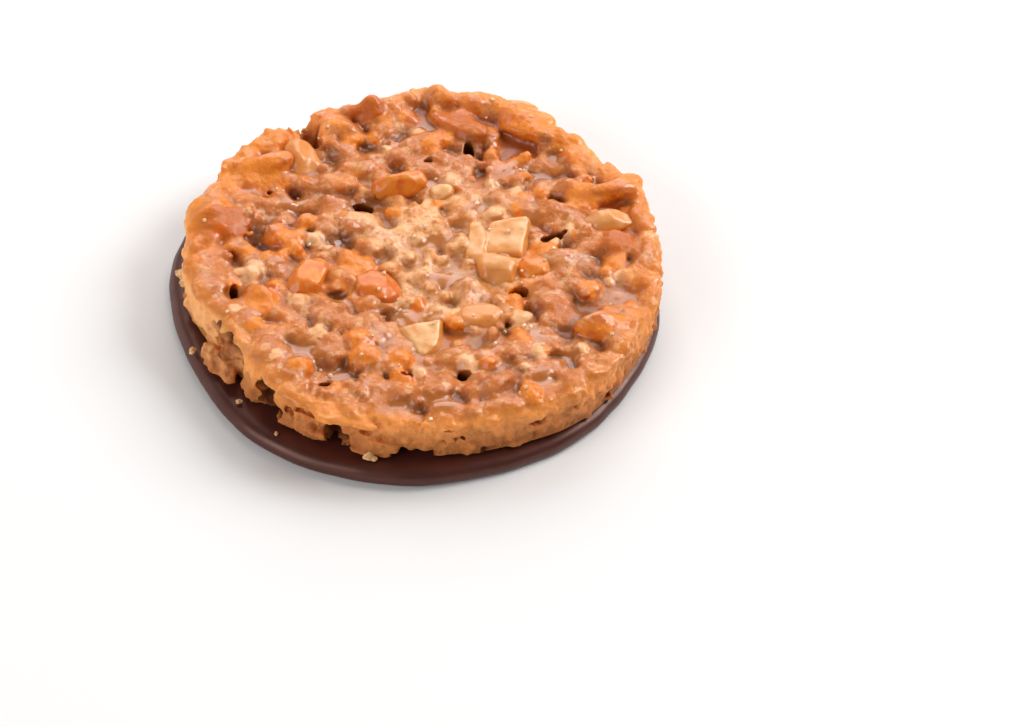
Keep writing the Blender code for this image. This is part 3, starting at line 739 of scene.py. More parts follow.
def poolShare(points, facing, filled, toRim, wall):
    # caramel stands where the core shows, where it has filled a crease, and in the listed pools
    caramelLevel = np.array([poolLevel(x, y) for x, y in points[:, :2]])
    lake = smoothStep(0.3, 0.1, np.abs(points[:, 2] - caramelLevel)) * smoothStep(0.75, 0.92, facing[:, 2])
    pool = np.maximum(0.5 * lake, smoothStep(0.09, 0.26, filled)) * smoothStep(0.4, 1.6, toRim) * (1 - wall)
    uneven = 0.2 * np.sin(points[:, 0] * 4.1) * np.sin(points[:, 1] * 3.7)
    for x, y, long, wide, turn in pools:
        inside = ovalReach(points[:, 0] - x, points[:, 1] - y, long, wide, turn) + uneven
        flat = smoothStep(0.55, 0.8, facing[:, 2]) * smoothStep(6.0, 6.6, points[:, 2])
        pool = np.maximum(pool, smoothStep(1.15, 0.85, inside) * flat)
    return pool


def gritLift(points, pool, wall):
    # rounded grains on the dough and a finer roughness, none where the caramel is smooth
    fromPatch = gapTo(points, *middlePatch["place"])
    coarse = 1 - 0.6 * smoothStep(middlePatch["outer"], middlePatch["inner"], fromPatch)
    for x, y, spread, strength in amberSpots:
        near = smoothStep(spread * 1.2, spread * 0.5, gapTo(points, x, y))
        coarse = np.minimum(coarse, 1 - 0.75 * strength * near)
    floorFace = points[:, 2] < biscuitFoot + 0.05
    lift = np.zeros(len(points))
    wallFine, wallBroad, wallGrain = grit["onWall"]
    for i, point in enumerate(points):
        if floorFace[i] or pool[i] > 0.95:
            continue
        spot = Vector(point)
        near = noise.voronoi(spot / grit["grainSize"])[0][0]
        fine = noise.noise(spot / grit["fineSize"])
        broad = noise.noise(spot / grit["broadSize"] + Vector((9, 4, 2)))
        pits = max(0.0, noise.noise(spot / grit["pitSize"]) - grit["pitStart"])
        grain = (grit["grain"] * (0.42 - near) + grit["fine"] * fine) * coarse[i]
        side = wallFine * fine + wallBroad * broad + wallGrain * (0.4 - near) - grit["pitDepth"] * pits
        lift[i] = (grain * (1 - wall[i]) + side * wall[i]) * (1 - pool[i])
    return lift


def hollowShare(points, facing, wall):
    # painted shade: how dark the sunk places and the creases between the lumps are painted
    relief = localRelief(points, facing)
    hollow = smoothStep(0.0, -0.6, relief) * (1 - wall)
    # the listed valleys get painted shade as strong as they are deep
    for x, y, spread, depth in valleys:
        near = smoothStep(spread * 0.95, spread * 0.25, gapTo(points, x, y))
        hollow = np.maximum(hollow, depth * near * smoothStep(0.35, -0.3, relief) * (1 - wall))
    return hollow


def holeShadeShare(points, facing, toRim):
    # the inside of the holes in the wall and of the pits in the top, painted dark as shade
    holeShade = np.zeros(len(points))
    for azimuth, height, wide, tall, deep, slant in wallHoles:
        if height > 8.5:  # a notch in the rim, open to the light
            continue
        middle = np.array(around(azimuth, rimRadius(azimuth), height))
        gap = np.linalg.norm((points - middle) / np.array([1, 1, max(tall / wide, 0.5)]), axis=1)
        inward = ((middle - points) * facing).sum(1)
        inside = 0.9 * smoothStep(deep * 1.1, deep * 0.7, gap) * smoothStep(0.2, 0.8, inward)
        holeShade = np.maximum(holeShade, inside * smoothStep(0.4, 1.1, toRim))
    for x, y, long, wide, deep, turn in topPits:
        size = max(long, wide)
        sunk = smoothStep(0.5, 1.6, topLevel(x, y) - points[:, 2])
        holeShade = np.maximum(holeShade, 0.85 * smoothStep(size * 0.75, size * 0.4, gapTo(points, x, y)) * sunk)
    return holeShade


def lumpKinds(points, marks):
    # each point takes the kind and the tint of the lump that it lies on
    tree = KDTree(len(marks))
    for i, (place, kind, tint) in enumerate(marks):
        tree.insert(place.translation, i)
    tree.balance()
    inverses = [place.inverted() for place, kind, tint in marks]
    amber, red, pale = np.zeros((3, len(points)))
    tints = np.full(len(points), 0.5)
    for i, point in enumerate(points):
        if point[2] < 5.5:
            continue
        best, chosen = 1.45, None
        for spot, k, distance in tree.find_n(point, 5):
            inside = (inverses[k] @ Vector(point)).length
            if inside < best:
                best, chosen = inside, k
        if chosen is not None:
            place, kind, tint = marks[chosen]
            share = float(smoothStep(1.45, 1.12, best))
            amber[i] = share if kind in ("amber", "melted") else 0.0
            red[i] = share if kind == "meltedRed" else 0.0
            pale[i] = share if kind == "pale" else 0.0
            tints[i] = 0.5 + (tint - 0.5) * share
    for x, y, spread, strength in amberSpots:
        gap = gapTo(points, x, y) + 0.25 * spread * np.sin(points[:, 0] * 1.9 + points[:, 1] * 1.3)
        near = strength * smoothStep(spread * 1.25, spread * 0.5, gap)
        amber = np.maximum(amber, near * smoothStep(4.0, 7.0, points[:, 2]))
    for x, y, spread, strength in redSpots:
        gap = gapTo(points, x, y) + 0.25 * spread * np.sin(points[:, 0] * 2.3 - points[:, 1] * 1.7)
        near = strength * smoothStep(spread * 1.25, spread * 0.5, gap)
        red = np.maximum(red, near * smoothStep(5.0, 7.4, points[:, 2]))
    return amber, red, pale, tints


def overArc(azimuths, start, full, past, end):
    return smoothStep(start, full, azimuths) * smoothStep(end, past, azimuths)


def paintedLightAndShade(points, toRim, wall):
    # the paler middle (partly painted sheen), a painted glow on the rim, painted sunlight on the wall's left,
    # and how low a point lies
    atX, atY = middlePatch["place"]
    dx, dy = points[:, 0] - atX, points[:, 1] - atY
    wide, back, front = middlePatch["stretch"]
    centre = np.hypot(dx * wide, dy * np.where(dy > 0, back, front))
    middle = smoothStep(middlePatch["outer"], middlePatch["inner"], centre)
    azimuths = np.degrees(np.arctan2(points[:, 1], points[:, 0]))
    # a painted glow of light through the rim, strongest at the back and upper left
    behind = np.maximum(overArc(azimuths, 28, 48, 100, 118), 0.6 * overArc(azimuths, 130, 142, 158, 178))
    edge = smoothStep(2.4, 0.4, toRim) * smoothStep(6.4, 8.0, points[:, 2])
    paintedGlow = edge * np.maximum(behind, 0.42)
    # painted sunlight on the left of the wall
    left = np.maximum(smoothStep(-130, -150, azimuths), smoothStep(165, 175, azimuths))
    paintedSun = left * wall * smoothStep(3.0, 5.0, points[:, 2])
    # and how low a point lies, for painted shade low on the wall
    return middle, paintedGlow, paintedSun, smoothStep(7.2, 3.4, points[:, 2])


def buildDough():
    draw = random.Random(doughLumps["seed"])
    marks, lumps = [], []
    bm = bmesh.new()
    addCore(bm)
    addWallSkin(lumps, draw)
    addTopLumps(lumps, draw, marks)
    addRim(lumps, draw, marks)
    addMeltedNuts(lumps, marks)
    addPools(lumps)
    addKernels(lumps, draw, marks)
    addSmallLumps(lumps, draw, marks)
    addSkirts(lumps, draw)
    addFlakes(lumps, draw)
    gatherLumps(bm, lumps)
    dough = newObject("caramelDough", bm)
    meltTogether(dough, doughLumps["voxel"])
    print("dough melted together:", len(dough.data.vertices), "points")
    hollowOut(dough)
    keepLargestBody(dough)
    print("dough hollowed out:", len(dough.data.vertices), "points")
    filled = meltCreases(dough, doughLumps["meltTimes"], doughLumps["melt"])

    points, facing = coordinates(dough), normals(dough)
    toRim = distanceToRim(points)
    wall = smoothStep(1.6, 0.5, toRim) * smoothStep(8.6, 7.4, points[:, 2])
    pool = poolShare(points, facing, filled, toRim, wall)
    # steepness, for painted shade on the sides of the lumps and painted light on their tops
    steepShade = smoothStep(0.93, 0.55, facing[:, 2]) * (1 - wall)
    setCoordinates(dough, points + facing * gritLift(points, pool, wall)[:, None])

    points = coordinates(dough)
    amber, red, pale, tint = lumpKinds(points, marks)
    middle, paintedGlow, paintedSun, low = paintedLightAndShade(points, toRim, wall)
    # among these are masks for painted shade low on the wall, in creases and in holes, and for painted
    # sunlight and glow
    shades = {"low": low, "steepShade": steepShade, "paintedSun": paintedSun, "paintedGlow": paintedGlow, "wall": wall, "pool": pool,
              "hollow": hollowShare(points, facing, wall), "holeShade": holeShadeShare(points, facing, toRim),
              "middle": middle, "amber": amber, "red": red, "pale": pale, "tint": tint}
    for name in doughMarks:
        setAttribute(dough, name, shades[name])
    moveIntoPlace(dough)
    dough.data.shade_smooth()
    return dough


# bulges are the height of the waves in the raw shape and how often they come, and dents are the height and
# the length of those in the skin. sunk is how far the middle lies below its level, as a share of the height.
nutFinish = {"bulges": [(0.34, 0.9), (0.14, 2.1)], "plainCut": 0.86, "sunk": 0.26, "voxel": 0.2,
             "softening": 6, "dents": [(0.16, 1.5), (0.02, 0.6)]}


def chopNut(piece, seed):
    draw = random.Random(seed)
    bm = bmesh.new()
    made = bmesh.ops.create_icosphere(bm, subdivisions=4, radius=1.0)["verts"]
    for vert in made:
        drift = Vector((seed * 1.7, 0, seed))
        vert.co *= 1 + sum(high * noise.noise(vert.co * often + drift) for high, often in nutFinish["bulges"])
    cuts = piece["cuts"] or [(draw.uniform(0, 360), draw.uniform(20, 70), nutFinish["plainCut"])]
    for azimuth, elevation, share in cuts:
        facing = directionOf(azimuth, elevation)
        cutOff(bm, facing * share, facing, clear_outer=True)
    long, wide, high = piece["size"]
    x, y = piece["place"]
    leanX, leanY = piece["lean"]
    middle = (x, y, nutLevel(piece) - high * nutFinish["sunk"])
    place = (Matrix.Translation(middle) @ rotated(leanX, "X") @ rotated(leanY, "Y")
             @ rotated(piece["turn"], "Z") @ Matrix.Diagonal((long / 2, wide / 2, high / 2, 1)))
    bmesh.ops.transform(bm, matrix=place, verts=bm.verts)
    bmesh.ops.triangulate(bm, faces=bm.faces)
    return bm


def buildNuts(name, kinds):
    whole = bmesh.new()
    for seed, piece in enumerate(nutPieces.values()):
        if piece["kind"] in kinds:
            addTo(whole, chopNut(piece, seed))
    nuts = newObject(name, whole)
    meltTogether(nuts, nutFinish["voxel"])
    with opened(nuts) as bm:
        for _ in range(nutFinish["softening"]):
            bmesh.ops.smooth_vert(bm, verts=bm.verts, factor=0.5, use_axis_x=True, use_axis_y=True,
                                  use_axis_z=True)
    points, facing = coordinates(nuts), normals(nuts)
    lift = np.zeros(len(points))
    for high, length in nutFinish["dents"]:
        lift += high * np.array([noise.noise(Vector(point) / length) for point in points])
    setCoordinates(nuts, points + facing * lift[:, None])
    red, soaked = np.zeros(len(points)), np.zeros(len(points))
    for piece in nutPieces.values():
        size = max(piece["size"][:2])
        reach = smoothStep(size * 0.62, size * 0.48, gapTo(points, *piece["place"]))
        if piece["kind"] in kinds:
            soaked = soaked * (1 - reach) + piece["soaked"] * reach
        if piece["kind"] == "red":
            red = np.maximum(red, reach)
    setAttribute(nuts, "red", red)
    setAttribute(nuts, "soaked", soaked)
    # steepness, for painted shade on the sides of the nuts
    setAttribute(nuts, "steepShade", smoothStep(0.93, 0.55, facing[:, 2]))
    moveIntoPlace(nuts)
    nuts.data.shade_smooth()
    return nuts


chocolate = {
    "axis": (-0.055, -0.611, 0),
    "radius": 29.5,
    "swells": [(-156, -0.9, 34), (-120, 0.35, 24), (-66, -0.8, 30), (-30, -0.8, 34), (122, 1.3, 34)],
    # how far inside the outline, and the height
    "profile": [(4.0, 0.0), (1.1, 0.0), (0.75, 0.05), (0.5, 0.14), (0.24, 0.32), (0.1, 0.55), (0.02, 0.82),
                (0.0, 1.1), (0.04, 1.37), (0.14, 1.62), (0.28, 1.84), (0.48, 2.03), (0.74, 2.18),
                (1.1, 2.29), (1.6, 2.36), (2.4, 2.4), (4.0, 2.4), (9.0, 2.4)],
    "segments": 256,
    "ripple": 0.13,
    "rippleLength": 3.4,
    "dip": 0.12,
    "dipLength": 5.0,
}


def chocolateRadius(azimuth):
    ripple = noise.noise(around(azimuth, chocolate["radius"]) / chocolate["rippleLength"])
    return chocolate["radius"] + swell(azimuth, chocolate["swells"]) + chocolate["ripple"] * ripple


def buildChocolate():
    bm = bmesh.new()
    radius = chocolate["radius"]
    verts = [bm.verts.new((radius - inset, 0, height)) for inset, height in chocolate["profile"]]
    edges = [bm.edges.new(pair) for pair in zip(verts, verts[1:])]
    bmesh.ops.spin(bm, geom=bm.verts[:] + edges, cent=(0, 0, 0), axis=(0, 0, 1), angle=2 * math.pi,
                   steps=chocolate["segments"], use_merge=True)
    bmesh.ops.remove_doubles(bm, verts=bm.verts, dist=0.001)
    bmesh.ops.holes_fill(bm, edges=[edge for edge in bm.edges if edge.is_boundary])
    for vert in bm.verts:
        inset = radius - math.hypot(vert.co.x, vert.co.y)
        azimuth = azimuthOf(vert.co.x, vert.co.y)
        height = vert.co.z
        if height > 0.3:
            dip = chocolate["dip"] * noise.noise(vert.co / chocolate["dipLength"])
            dip *= float(smoothStep(0.3, 1.5, height)) * float(smoothStep(6.0, 2.0, inset))
            height += min(dip, 0.0) if height > 2.3 else dip
        vert.co = around(azimuth, chocolateRadius(azimuth) - inset, height)
    bmesh.ops.recalc_face_normals(bm, faces=bm.faces)
    plate = newObject("chocolatePlate", bm)
    plate.data.transform(Matrix.Translation(Vector(chocolate["axis"]) * mm) @ Matrix.Scale(mm, 4))
    plate.data.shade_smooth()
    return plate


sugar = {
    "seed": 8,
    "count": 56,
    "size": (0.24, 0.48),
    "lift": 0.22,
    "bevel": 0.16,
    "lowest": 6.5,
    "reach": 27.4,
    "spots": [(13.6, 20.6), (15.6, 19.0), (19.6, 14.6), (-4.6, -8.4), (-5.4, -7.6), (-10.6, 4.4),
              (-18.6, 9.6), (-12.6, -0.6), (-14.0, 0.2), (11.6, -22.6), (12.2, -22.2), (-6.8, -18.4),
              (-2.4, -19.2), (-11.4, -19.8), (14.0, -14.4), (22.0, -12.8), (9.6, -11.8), (-14.6, -14.0),
              (-10.2, -20.6), (10.2, -8.6)],
}
crumbs = {
    "seed": 4,
    "voxel": 0.09,
    "lumps": 3,
    "places": [(-174.5, 28.9, 4.6, 0.62), (-173.0, 28.7, 3.9, 0.5), (-100.4, 29.0, 2.95, 0.55),
               (-99.0, 29.3, 2.8, 0.34), (-152.6, 29.9, 2.9, 0.4), (-122.0, 30.2, 2.55, 0.22),
               (-134.0, 29.6, 2.75, 0.25)],
}


def surfaceTree(objects):
    bm = bmesh.new()
    for obj in objects:
        bm.from_mesh(obj.data)
    tree = BVHTree.FromBMesh(bm)
    bm.free()
    return tree


def buildSugar(tree):
    draw = random.Random(sugar["seed"])
    bm = bmesh.new()
    spots = list(sugar["spots"])
    while len(spots) < sugar["count"]:
        radius, azimuth = sugar["reach"] * math.sqrt(draw.random()), draw.uniform(0, 360)
        spot = around(azimuth, radius)
        if noise.noise(Vector((spot.x, spot.y, 70)) / 6) > -0.1:
            spots.append((spot.x, spot.y))
    for x, y in spots:
        start = biscuitAxis + Vector((x, y, 20)) * mm
        hit, facing, index, distance = tree.ray_cast(start, Vector((0, 0, -1)))
        if hit is None or hit.z < sugar["lowest"] * mm:
            continue
        size = draw.uniform(*sugar["size"])
        turns = [Matrix.Rotation(draw.uniform(0, 6.28), 4, axis) for axis in "ZXY"]
        turn = turns[0] @ turns[1] @ turns[2]
        sides = (size, size * draw.uniform(0.7, 1), size * draw.uniform(0.6, 1))
        shape = Matrix.Diagonal((*(side * mm for side in sides), 1))
        place = Matrix.Translation(hit + facing * size * sugar["lift"] * mm) @ turn @ shape
        made = bmesh.ops.create_cube(bm, size=1.0, matrix=place)["verts"]
        edges = list({edge for vert in made for edge in vert.link_edges})
        bmesh.ops.bevel(bm, geom=edges, offset=size * sugar["bevel"] * mm, segments=1, profile=0.5,
                        affect="EDGES", material=-1)
    return newObject("sugarCrystals", bm)


def buildCrumbs():
    draw = random.Random(crumbs["seed"])
    lumps = []
    for i, (azimuth, radius, height, size) in enumerate(crumbs["places"]):
        for k in range(crumbs["lumps"]):
            drift = Vector([draw.uniform(-0.5, 0.5) * size for _ in range(3)])
            shape = (size, size * 0.8, size * 0.7)
            addLump(lumps, around(azimuth, radius, height) + drift, shape, draw.uniform(0, 180), rough=0.5,
                    seed=i * crumbs["lumps"] + k)
    bm = bmesh.new()
    gatherLumps(bm, lumps)
    obj = newObject("looseCrumbs", bm)
    meltTogether(obj, crumbs["voxel"])
    moveIntoPlace(obj)
    return obj


# Materials


def plug(tree, socket, value):
    # a socket takes either another node's output or a plain value
    if isinstance(value, bpy.types.NodeSocket):
        tree.links.new(value, socket)
    else:
        socket.default_value = value


def setInputs(tree, node, values):
    for name, value in values.items():
        plug(tree, node.inputs[name], value)


def nodeIn(tree, kind, inputs=None, **settings):
    node = tree.nodes.new(kind)
    for name, value in settings.items():
        setattr(node, name, value)
    setInputs(tree, node, inputs or {})
    return node


def mixColours(tree, factor, first, second):
    return nodeIn(tree, "ShaderNodeMix", {0: factor, 6: first, 7: second}, data_type="RGBA").outputs[2]


def calculate(tree, operation, first, second=0.0):
    return nodeIn(tree, "ShaderNodeMath", {0: first, 1: second}, operation=operation).outputs[0]


def times(tree, first, second):
    return calculate(tree, "MULTIPLY", first, second)


def remap(tree, value, low, high, toLow=0.0, toHigh=1.0):
    inputs = {"Value": value, "From Min": low, "From Max": high, "To Min": toLow, "To Max": toHigh}
    return nodeIn(tree, "ShaderNodeMapRange", inputs, interpolation_type="SMOOTHSTEP").outputs["Result"]


def attribute(tree, name):
    return nodeIn(tree, "ShaderNodeAttribute", attribute_name=name).outputs["Fac"]


def addLayers(tree, colour, look, layers):
    # a layer is the noise that masks it, the values between which it fades in, its most and its colour
    for mask, low, high, most, shade in layers:
        colour = mixColours(tree, remap(tree, mask, low, high, 0.0, most), colour, look[shade])
    return colour


mottles = ("Broad", "Middle", "Fine", "Grain", "Grain Middle")


def mottleGroup():
    # three sizes of mottling that dough, nut and chocolate all use, and cells for single grains
    group = bpy.data.node_groups.new("bakedMottle", "ShaderNodeTree")
    face = group.interface
    face.new_socket("Vector", in_out="INPUT", socket_type="NodeSocketVector")
    for name, value in (("Broad Size", 3.0), ("Fine Size", 0.5)):
        socket = face.new_socket(name, in_out="INPUT", socket_type="NodeSocketFloat")
        socket.default_value = value
    for name in mottles:
        face.new_socket(name, in_out="OUTPUT", socket_type="NodeSocketFloat")
    inside, outside = group.nodes.new("NodeGroupInput"), group.nodes.new("NodeGroupOutput")
    toMillimetres = {0: inside.outputs["Vector"], "Scale": 1000.0}
    place = nodeIn(group, "ShaderNodeVectorMath", toMillimetres, operation="SCALE").outputs[0]
    fineSize = inside.outputs["Fine Size"]
    broad = calculate(group, "DIVIDE", 1.0, inside.outputs["Broad Size"])
    fine = calculate(group, "DIVIDE", 1.0, fineSize)
    middle = calculate(group, "SQRT", times(group, broad, fine))
    for name, scale, detail in (("Broad", broad, 2.0), ("Middle", middle, 3.0), ("Fine", fine, 3.0)):
        inputs = {"Vector": place, "Scale": scale, "Detail": detail, "Roughness": 0.6}
        texture = nodeIn(group, "ShaderNodeTexNoise", inputs)
        group.links.new(texture.outputs["Fac"], outside.inputs[name])
    inputs = {"Vector": place, "Scale": calculate(group, "DIVIDE", 0.4, fineSize), "Randomness": 1.0}
    cells = nodeIn(group, "ShaderNodeTexVoronoi", inputs)
    split = nodeIn(group, "ShaderNodeSeparateColor", {"Color": cells.outputs["Color"]})
    group.links.new(split.outputs["Red"], outside.inputs["Grain"])
    group.links.new(cells.outputs["Distance"], outside.inputs["Grain Middle"])
    return group


def newMaterial(name):
    material = bpy.data.materials.new(name)
    material.use_nodes = True
    tree = material.node_tree
    return material, tree, tree.nodes["Principled BSDF"]


def mottleIn(tree, broadSize, fineSize):
    place = nodeIn(tree, "ShaderNodeTexCoord").outputs["Object"]
    inputs = {"Vector": place, "Broad Size": broadSize, "Fine Size": fineSize}
    node = nodeIn(tree, "ShaderNodeGroup", inputs, node_tree=bakedMottle)
    return [node.outputs[name] for name in mottles]


def bumpFrom(tree, height, strength, distance):
    inputs = {"Height": height, "Strength": strength, "Distance": distance * mm}
    return nodeIn(tree, "ShaderNodeBump", inputs).outputs["Normal"]


def grey(value):
    return (value, value, value, 1)


doughFinish = {"Coat Roughness": 0.11, "Specular IOR Level": 0.3, "Subsurface Weight": 0.35,
               "Subsurface Radius": (1.0, 0.4, 0.15), "Subsurface Scale": 1.4 * mm}
# Some of these colours are painted light and shade: the lit tops, the shaded sides, creases and holes, the
# rim's glow, the sunlit wall and its shaded foot.
doughLook = {
    "tan": (0.8, 0.335, 0.1, 1), "tanLight": (0.92, 0.5, 0.24, 1), "toasted": (0.55, 0.148, 0.022, 1),
    "flank": (0.48, 0.17, 0.025, 1), "shadedFlankOuter": (0.36, 0.09, 0.01, 1), "amberLitTop": (0.84, 0.27, 0.03, 1),
    "redLitTop": (0.56, 0.135, 0.012, 1), "amber": (0.84, 0.25, 0.012, 1), "amberDeep": (0.68, 0.14, 0.008, 1),
    "amberCreaseShade": (0.34, 0.06, 0.006, 1), "red": (0.54, 0.11, 0.008, 1), "paintedGlow": (0.92, 0.31, 0.028, 1),
    "pale": (0.88, 0.46, 0.21, 1), "wall": (0.9, 0.34, 0.09, 1), "wallDark": (0.42, 0.13, 0.028, 1),
    "pool": (0.46, 0.14, 0.022, 1), "hollow": (0.22, 0.06, 0.01, 1), "holeShade": (0.17, 0.035, 0.01, 1),
    "paintedSun": (0.97, 0.48, 0.19, 1), "paleGrain": (0.86, 0.5, 0.23, 1), "amberGrain": (0.62, 0.19, 0.035, 1),
}


def doughTop(tree, look, mottle, marks):
    # two tans, toasted away from the middle, then pale nut, clear caramel and pools, with painted light on
    # the tops and painted shade on the sides and in the sunk places
    broad, middle, fine, grain = mottle[:4]
    centre, steepShade, amber = marks["middle"], marks["steepShade"], marks["amber"]
    colour = mixColours(tree, remap(tree, marks["tint"], 0.1, 0.9), look["tan"], look["tanLight"])
    # darker away from the middle: partly toasting, partly the middle's painted sheen
    colour = mixColours(tree, remap(tree, centre, 0.0, 1.0, 0.85, 0.0), colour, look["toasted"])
    colour = addLayers(tree, colour, look, [
        (broad, 0.5, 0.68, 0.7, "toasted"), (middle, 0.5, 0.64, 0.7, "toasted"),
        (middle, 0.42, 0.3, 0.6, "paleGrain"), (fine, 0.6, 0.74, 0.35, "flank"),
        (grain, 0.8, 0.86, 0.4, "paleGrain"), (grain, 0.2, 0.14, 0.5, "amberGrain"),
    ])
    colour = mixColours(tree, marks["pale"], colour, look["pale"])
    flank = mixColours(tree, centre, look["shadedFlankOuter"], look["flank"])
    # painted shade on the steep sides, darker away from the middle
    colour = mixColours(tree, times(tree, steepShade, 0.8), colour, flank)
    # clear caramel, lighter on the tops as painted light
    clear = mixColours(tree, remap(tree, middle, 0.4, 0.65), look["amber"], look["amberDeep"])
    clearTop = mixColours(tree, remap(tree, broad, 0.4, 0.6, 0.2, 0.8), look["amberLitTop"], clear)
    clear = mixColours(tree, steepShade, clearTop, clear)
    colour = mixColours(tree, times(tree, amber, 0.9), colour, clear)
    # baked red caramel, lighter on the tops as painted light
    burnt = mixColours(tree, steepShade, look["redLitTop"], look["red"])
    colour = mixColours(tree, marks["red"], colour, burnt)
    poured = mixColours(tree, amber, look["pool"], look["amberDeep"])
    colour = mixColours(tree, times(tree, marks["pool"], 0.85), colour, poured)
    # painted shade in the sunk places and creases, weaker in the middle
    deep = times(tree, marks["hollow"], remap(tree, centre, 0.0, 1.0, 0.95, 0.55))
    return mixColours(tree, deep, colour, mixColours(tree, amber, look["hollow"], look["amberCreaseShade"]))


def doughWall(tree, look, mottle, marks):
    broad, middle, fine = mottle[:3]
    side = addLayers(tree, look["wall"], look, [
        (broad, 0.45, 0.66, 0.6, "wallDark"), (middle, 0.55, 0.7, 0.4, "wallDark"),
        (fine, 0.55, 0.7, 0.35, "wallDark"),
    ])
    # painted shade, darker towards the bottom of the wall
    side = mixColours(tree, times(tree, marks["low"], 0.85), side, look["wallDark"])
    # painted sunlight on the left of the wall
    return mixColours(tree, times(tree, marks["paintedSun"], 0.8), side, look["paintedSun"])


def caramelDoughMaterial():
    material, tree, shader = newMaterial("caramelDough")
    look, mottle = doughLook, mottleIn(tree, 2.6, 0.28)
    marks = {name: attribute(tree, name) for name in doughMarks}
    broad, middle, fine, grain, grainMiddle = mottle
    wall, pool, holeShade = marks["wall"], marks["pool"], marks["holeShade"]
    colour = mixColours(tree, wall, doughTop(tree, look, mottle, marks), doughWall(tree, look, mottle, marks))
    # the painted glow of light through the rim
    glowing = times(tree, marks["paintedGlow"], remap(tree, broad, 0.3, 0.6, 0.5))
    colour = mixColours(tree, glowing, colour, look["paintedGlow"])
    # painted shade inside the holes and the pits
    shaded = times(tree, holeShade, remap(tree, middle, 0.35, 0.6, 0.6))
    colour = mixColours(tree, shaded, colour, look["holeShade"])

    # dry and dull on the wall and in the holes, wet in the pools, with a glaze that comes and goes
    dull = calculate(tree, "MAXIMUM", wall, holeShade)
    rough = mixColours(tree, dull, mixColours(tree, pool, grey(0.38), grey(0.26)), grey(0.62))
    glaze = calculate(tree, "MAXIMUM", remap(tree, broad, 0.42, 0.62, 0.12, 0.75), pool)
    unglazed = calculate(tree, "MAXIMUM", dull, times(tree, marks["red"], 0.55))
    wet = times(tree, glaze, calculate(tree, "SUBTRACT", 1.0, unglazed))

    rise = calculate(tree, "ADD", fine, times(tree, middle, 0.8))
    grains = calculate(tree, "SUBTRACT", rise, grainMiddle)
    dryGrains = times(tree, grains, calculate(tree, "SUBTRACT", 1.0, pool))
    height = calculate(tree, "ADD", dryGrains, times(tree, broad, 0.8))
    setInputs(tree, shader, {"Base Color": colour, "Roughness": rough, "Coat Weight": wet,
                             "Normal": bumpFrom(tree, height, 0.5, 0.2), **doughFinish})
    return material


# face colours are the lit tops and flank colours the shaded sides: painted light and shade
nutLook = {"face": (0.8, 0.25, 0.02, 1), "faceDeep": (0.74, 0.18, 0.01, 1),
           "redFace": (0.7, 0.165, 0.012, 1), "flank": (0.76, 0.22, 0.015, 1),
           "flankDeep": (0.64, 0.12, 0.007, 1), "redFlank": (0.6, 0.11, 0.008, 1),
           "mottle": (0.72, 0.33, 0.1, 1)}
nutGlaze = {"Coat Roughness": 0.16, "Specular IOR Level": 0.3, "Subsurface Weight": 0.25,
            "Subsurface Radius": (1.0, 0.3, 0.06), "Subsurface Scale": 1.6 * mm}


def amberNutMaterial():
    material, tree, shader = newMaterial("caramelNut")
    look = nutLook
    broad, middle, fine = mottleIn(tree, 2.2, 0.4)[:3]
    red = attribute(tree, "red")
    flank = mixColours(tree, remap(tree, broad, 0.4, 0.65), look["flank"], look["flankDeep"])
    flank = mixColours(tree, red, flank, look["redFlank"])
    face = mixColours(tree, remap(tree, broad, 0.42, 0.62), look["face"], look["faceDeep"])
    face = mixColours(tree, red, face, look["redFace"])
    # lighter tops and darker sides, painted light and shade
    colour = mixColours(tree, attribute(tree, "steepShade"), face, flank)
    setInputs(tree, shader, {
        "Base Color": addLayers(tree, colour, look, [(middle, 0.52, 0.7, 0.5, "mottle")]),
        "Roughness": remap(tree, fine, 0.3, 0.7, 0.34, 0.48),
        "Coat Weight": remap(tree, broad, 0.3, 0.6, 0.25, 0.6),
        "Normal": bumpFrom(tree, middle, 0.25, 0.2), **nutGlaze})
    return material


paleNutLook = {"face": (0.87, 0.485, 0.215, 1), "faceDeep": (0.82, 0.375, 0.12, 1),
               "flank": (0.68, 0.25, 0.035, 1), "mottle": (0.76, 0.31, 0.07, 1),
               "soaked": (0.8, 0.32, 0.075, 1), "soakedDeep": (0.68, 0.21, 0.03, 1)}
paleNutFinish = {"Coat Weight": 0.4, "Coat Roughness": 0.2, "Subsurface Weight": 0.3,
                 "Subsurface Radius": (1.0, 0.6, 0.25), "Subsurface Scale": 1.4 * mm}


def paleNutMaterial():
    material, tree, shader = newMaterial("paleNut")
    look = paleNutLook
    broad, middle, fine = mottleIn(tree, 3.0, 0.4)[:3]
    colour = mixColours(tree, remap(tree, broad, 0.42, 0.62), look["face"], look["faceDeep"])
    # darker on the steep sides: partly the nut's skin, partly painted shade
    colour = mixColours(tree, times(tree, attribute(tree, "steepShade"), 0.9), colour, look["flank"])
    colour = addLayers(tree, colour, look, [(middle, 0.5, 0.64, 0.6, "mottle")])
    caramel = mixColours(tree, broad, look["soaked"], look["soakedDeep"])
    setInputs(tree, shader, {
        "Base Color": mixColours(tree, attribute(tree, "soaked"), colour, caramel),
        "Roughness": remap(tree, fine, 0.3, 0.7, 0.3, 0.48),
        "Normal": bumpFrom(tree, fine, 0.2, 0.15), **paleNutFinish})
    return material


chocolateLook = {"dark": (0.054, 0.0125, 0.009, 1), "light": (0.072, 0.017, 0.012, 1)}
chocolateFinish = {"Specular IOR Level": 0.72, "Specular Tint": (1.0, 0.66, 0.56, 1)}


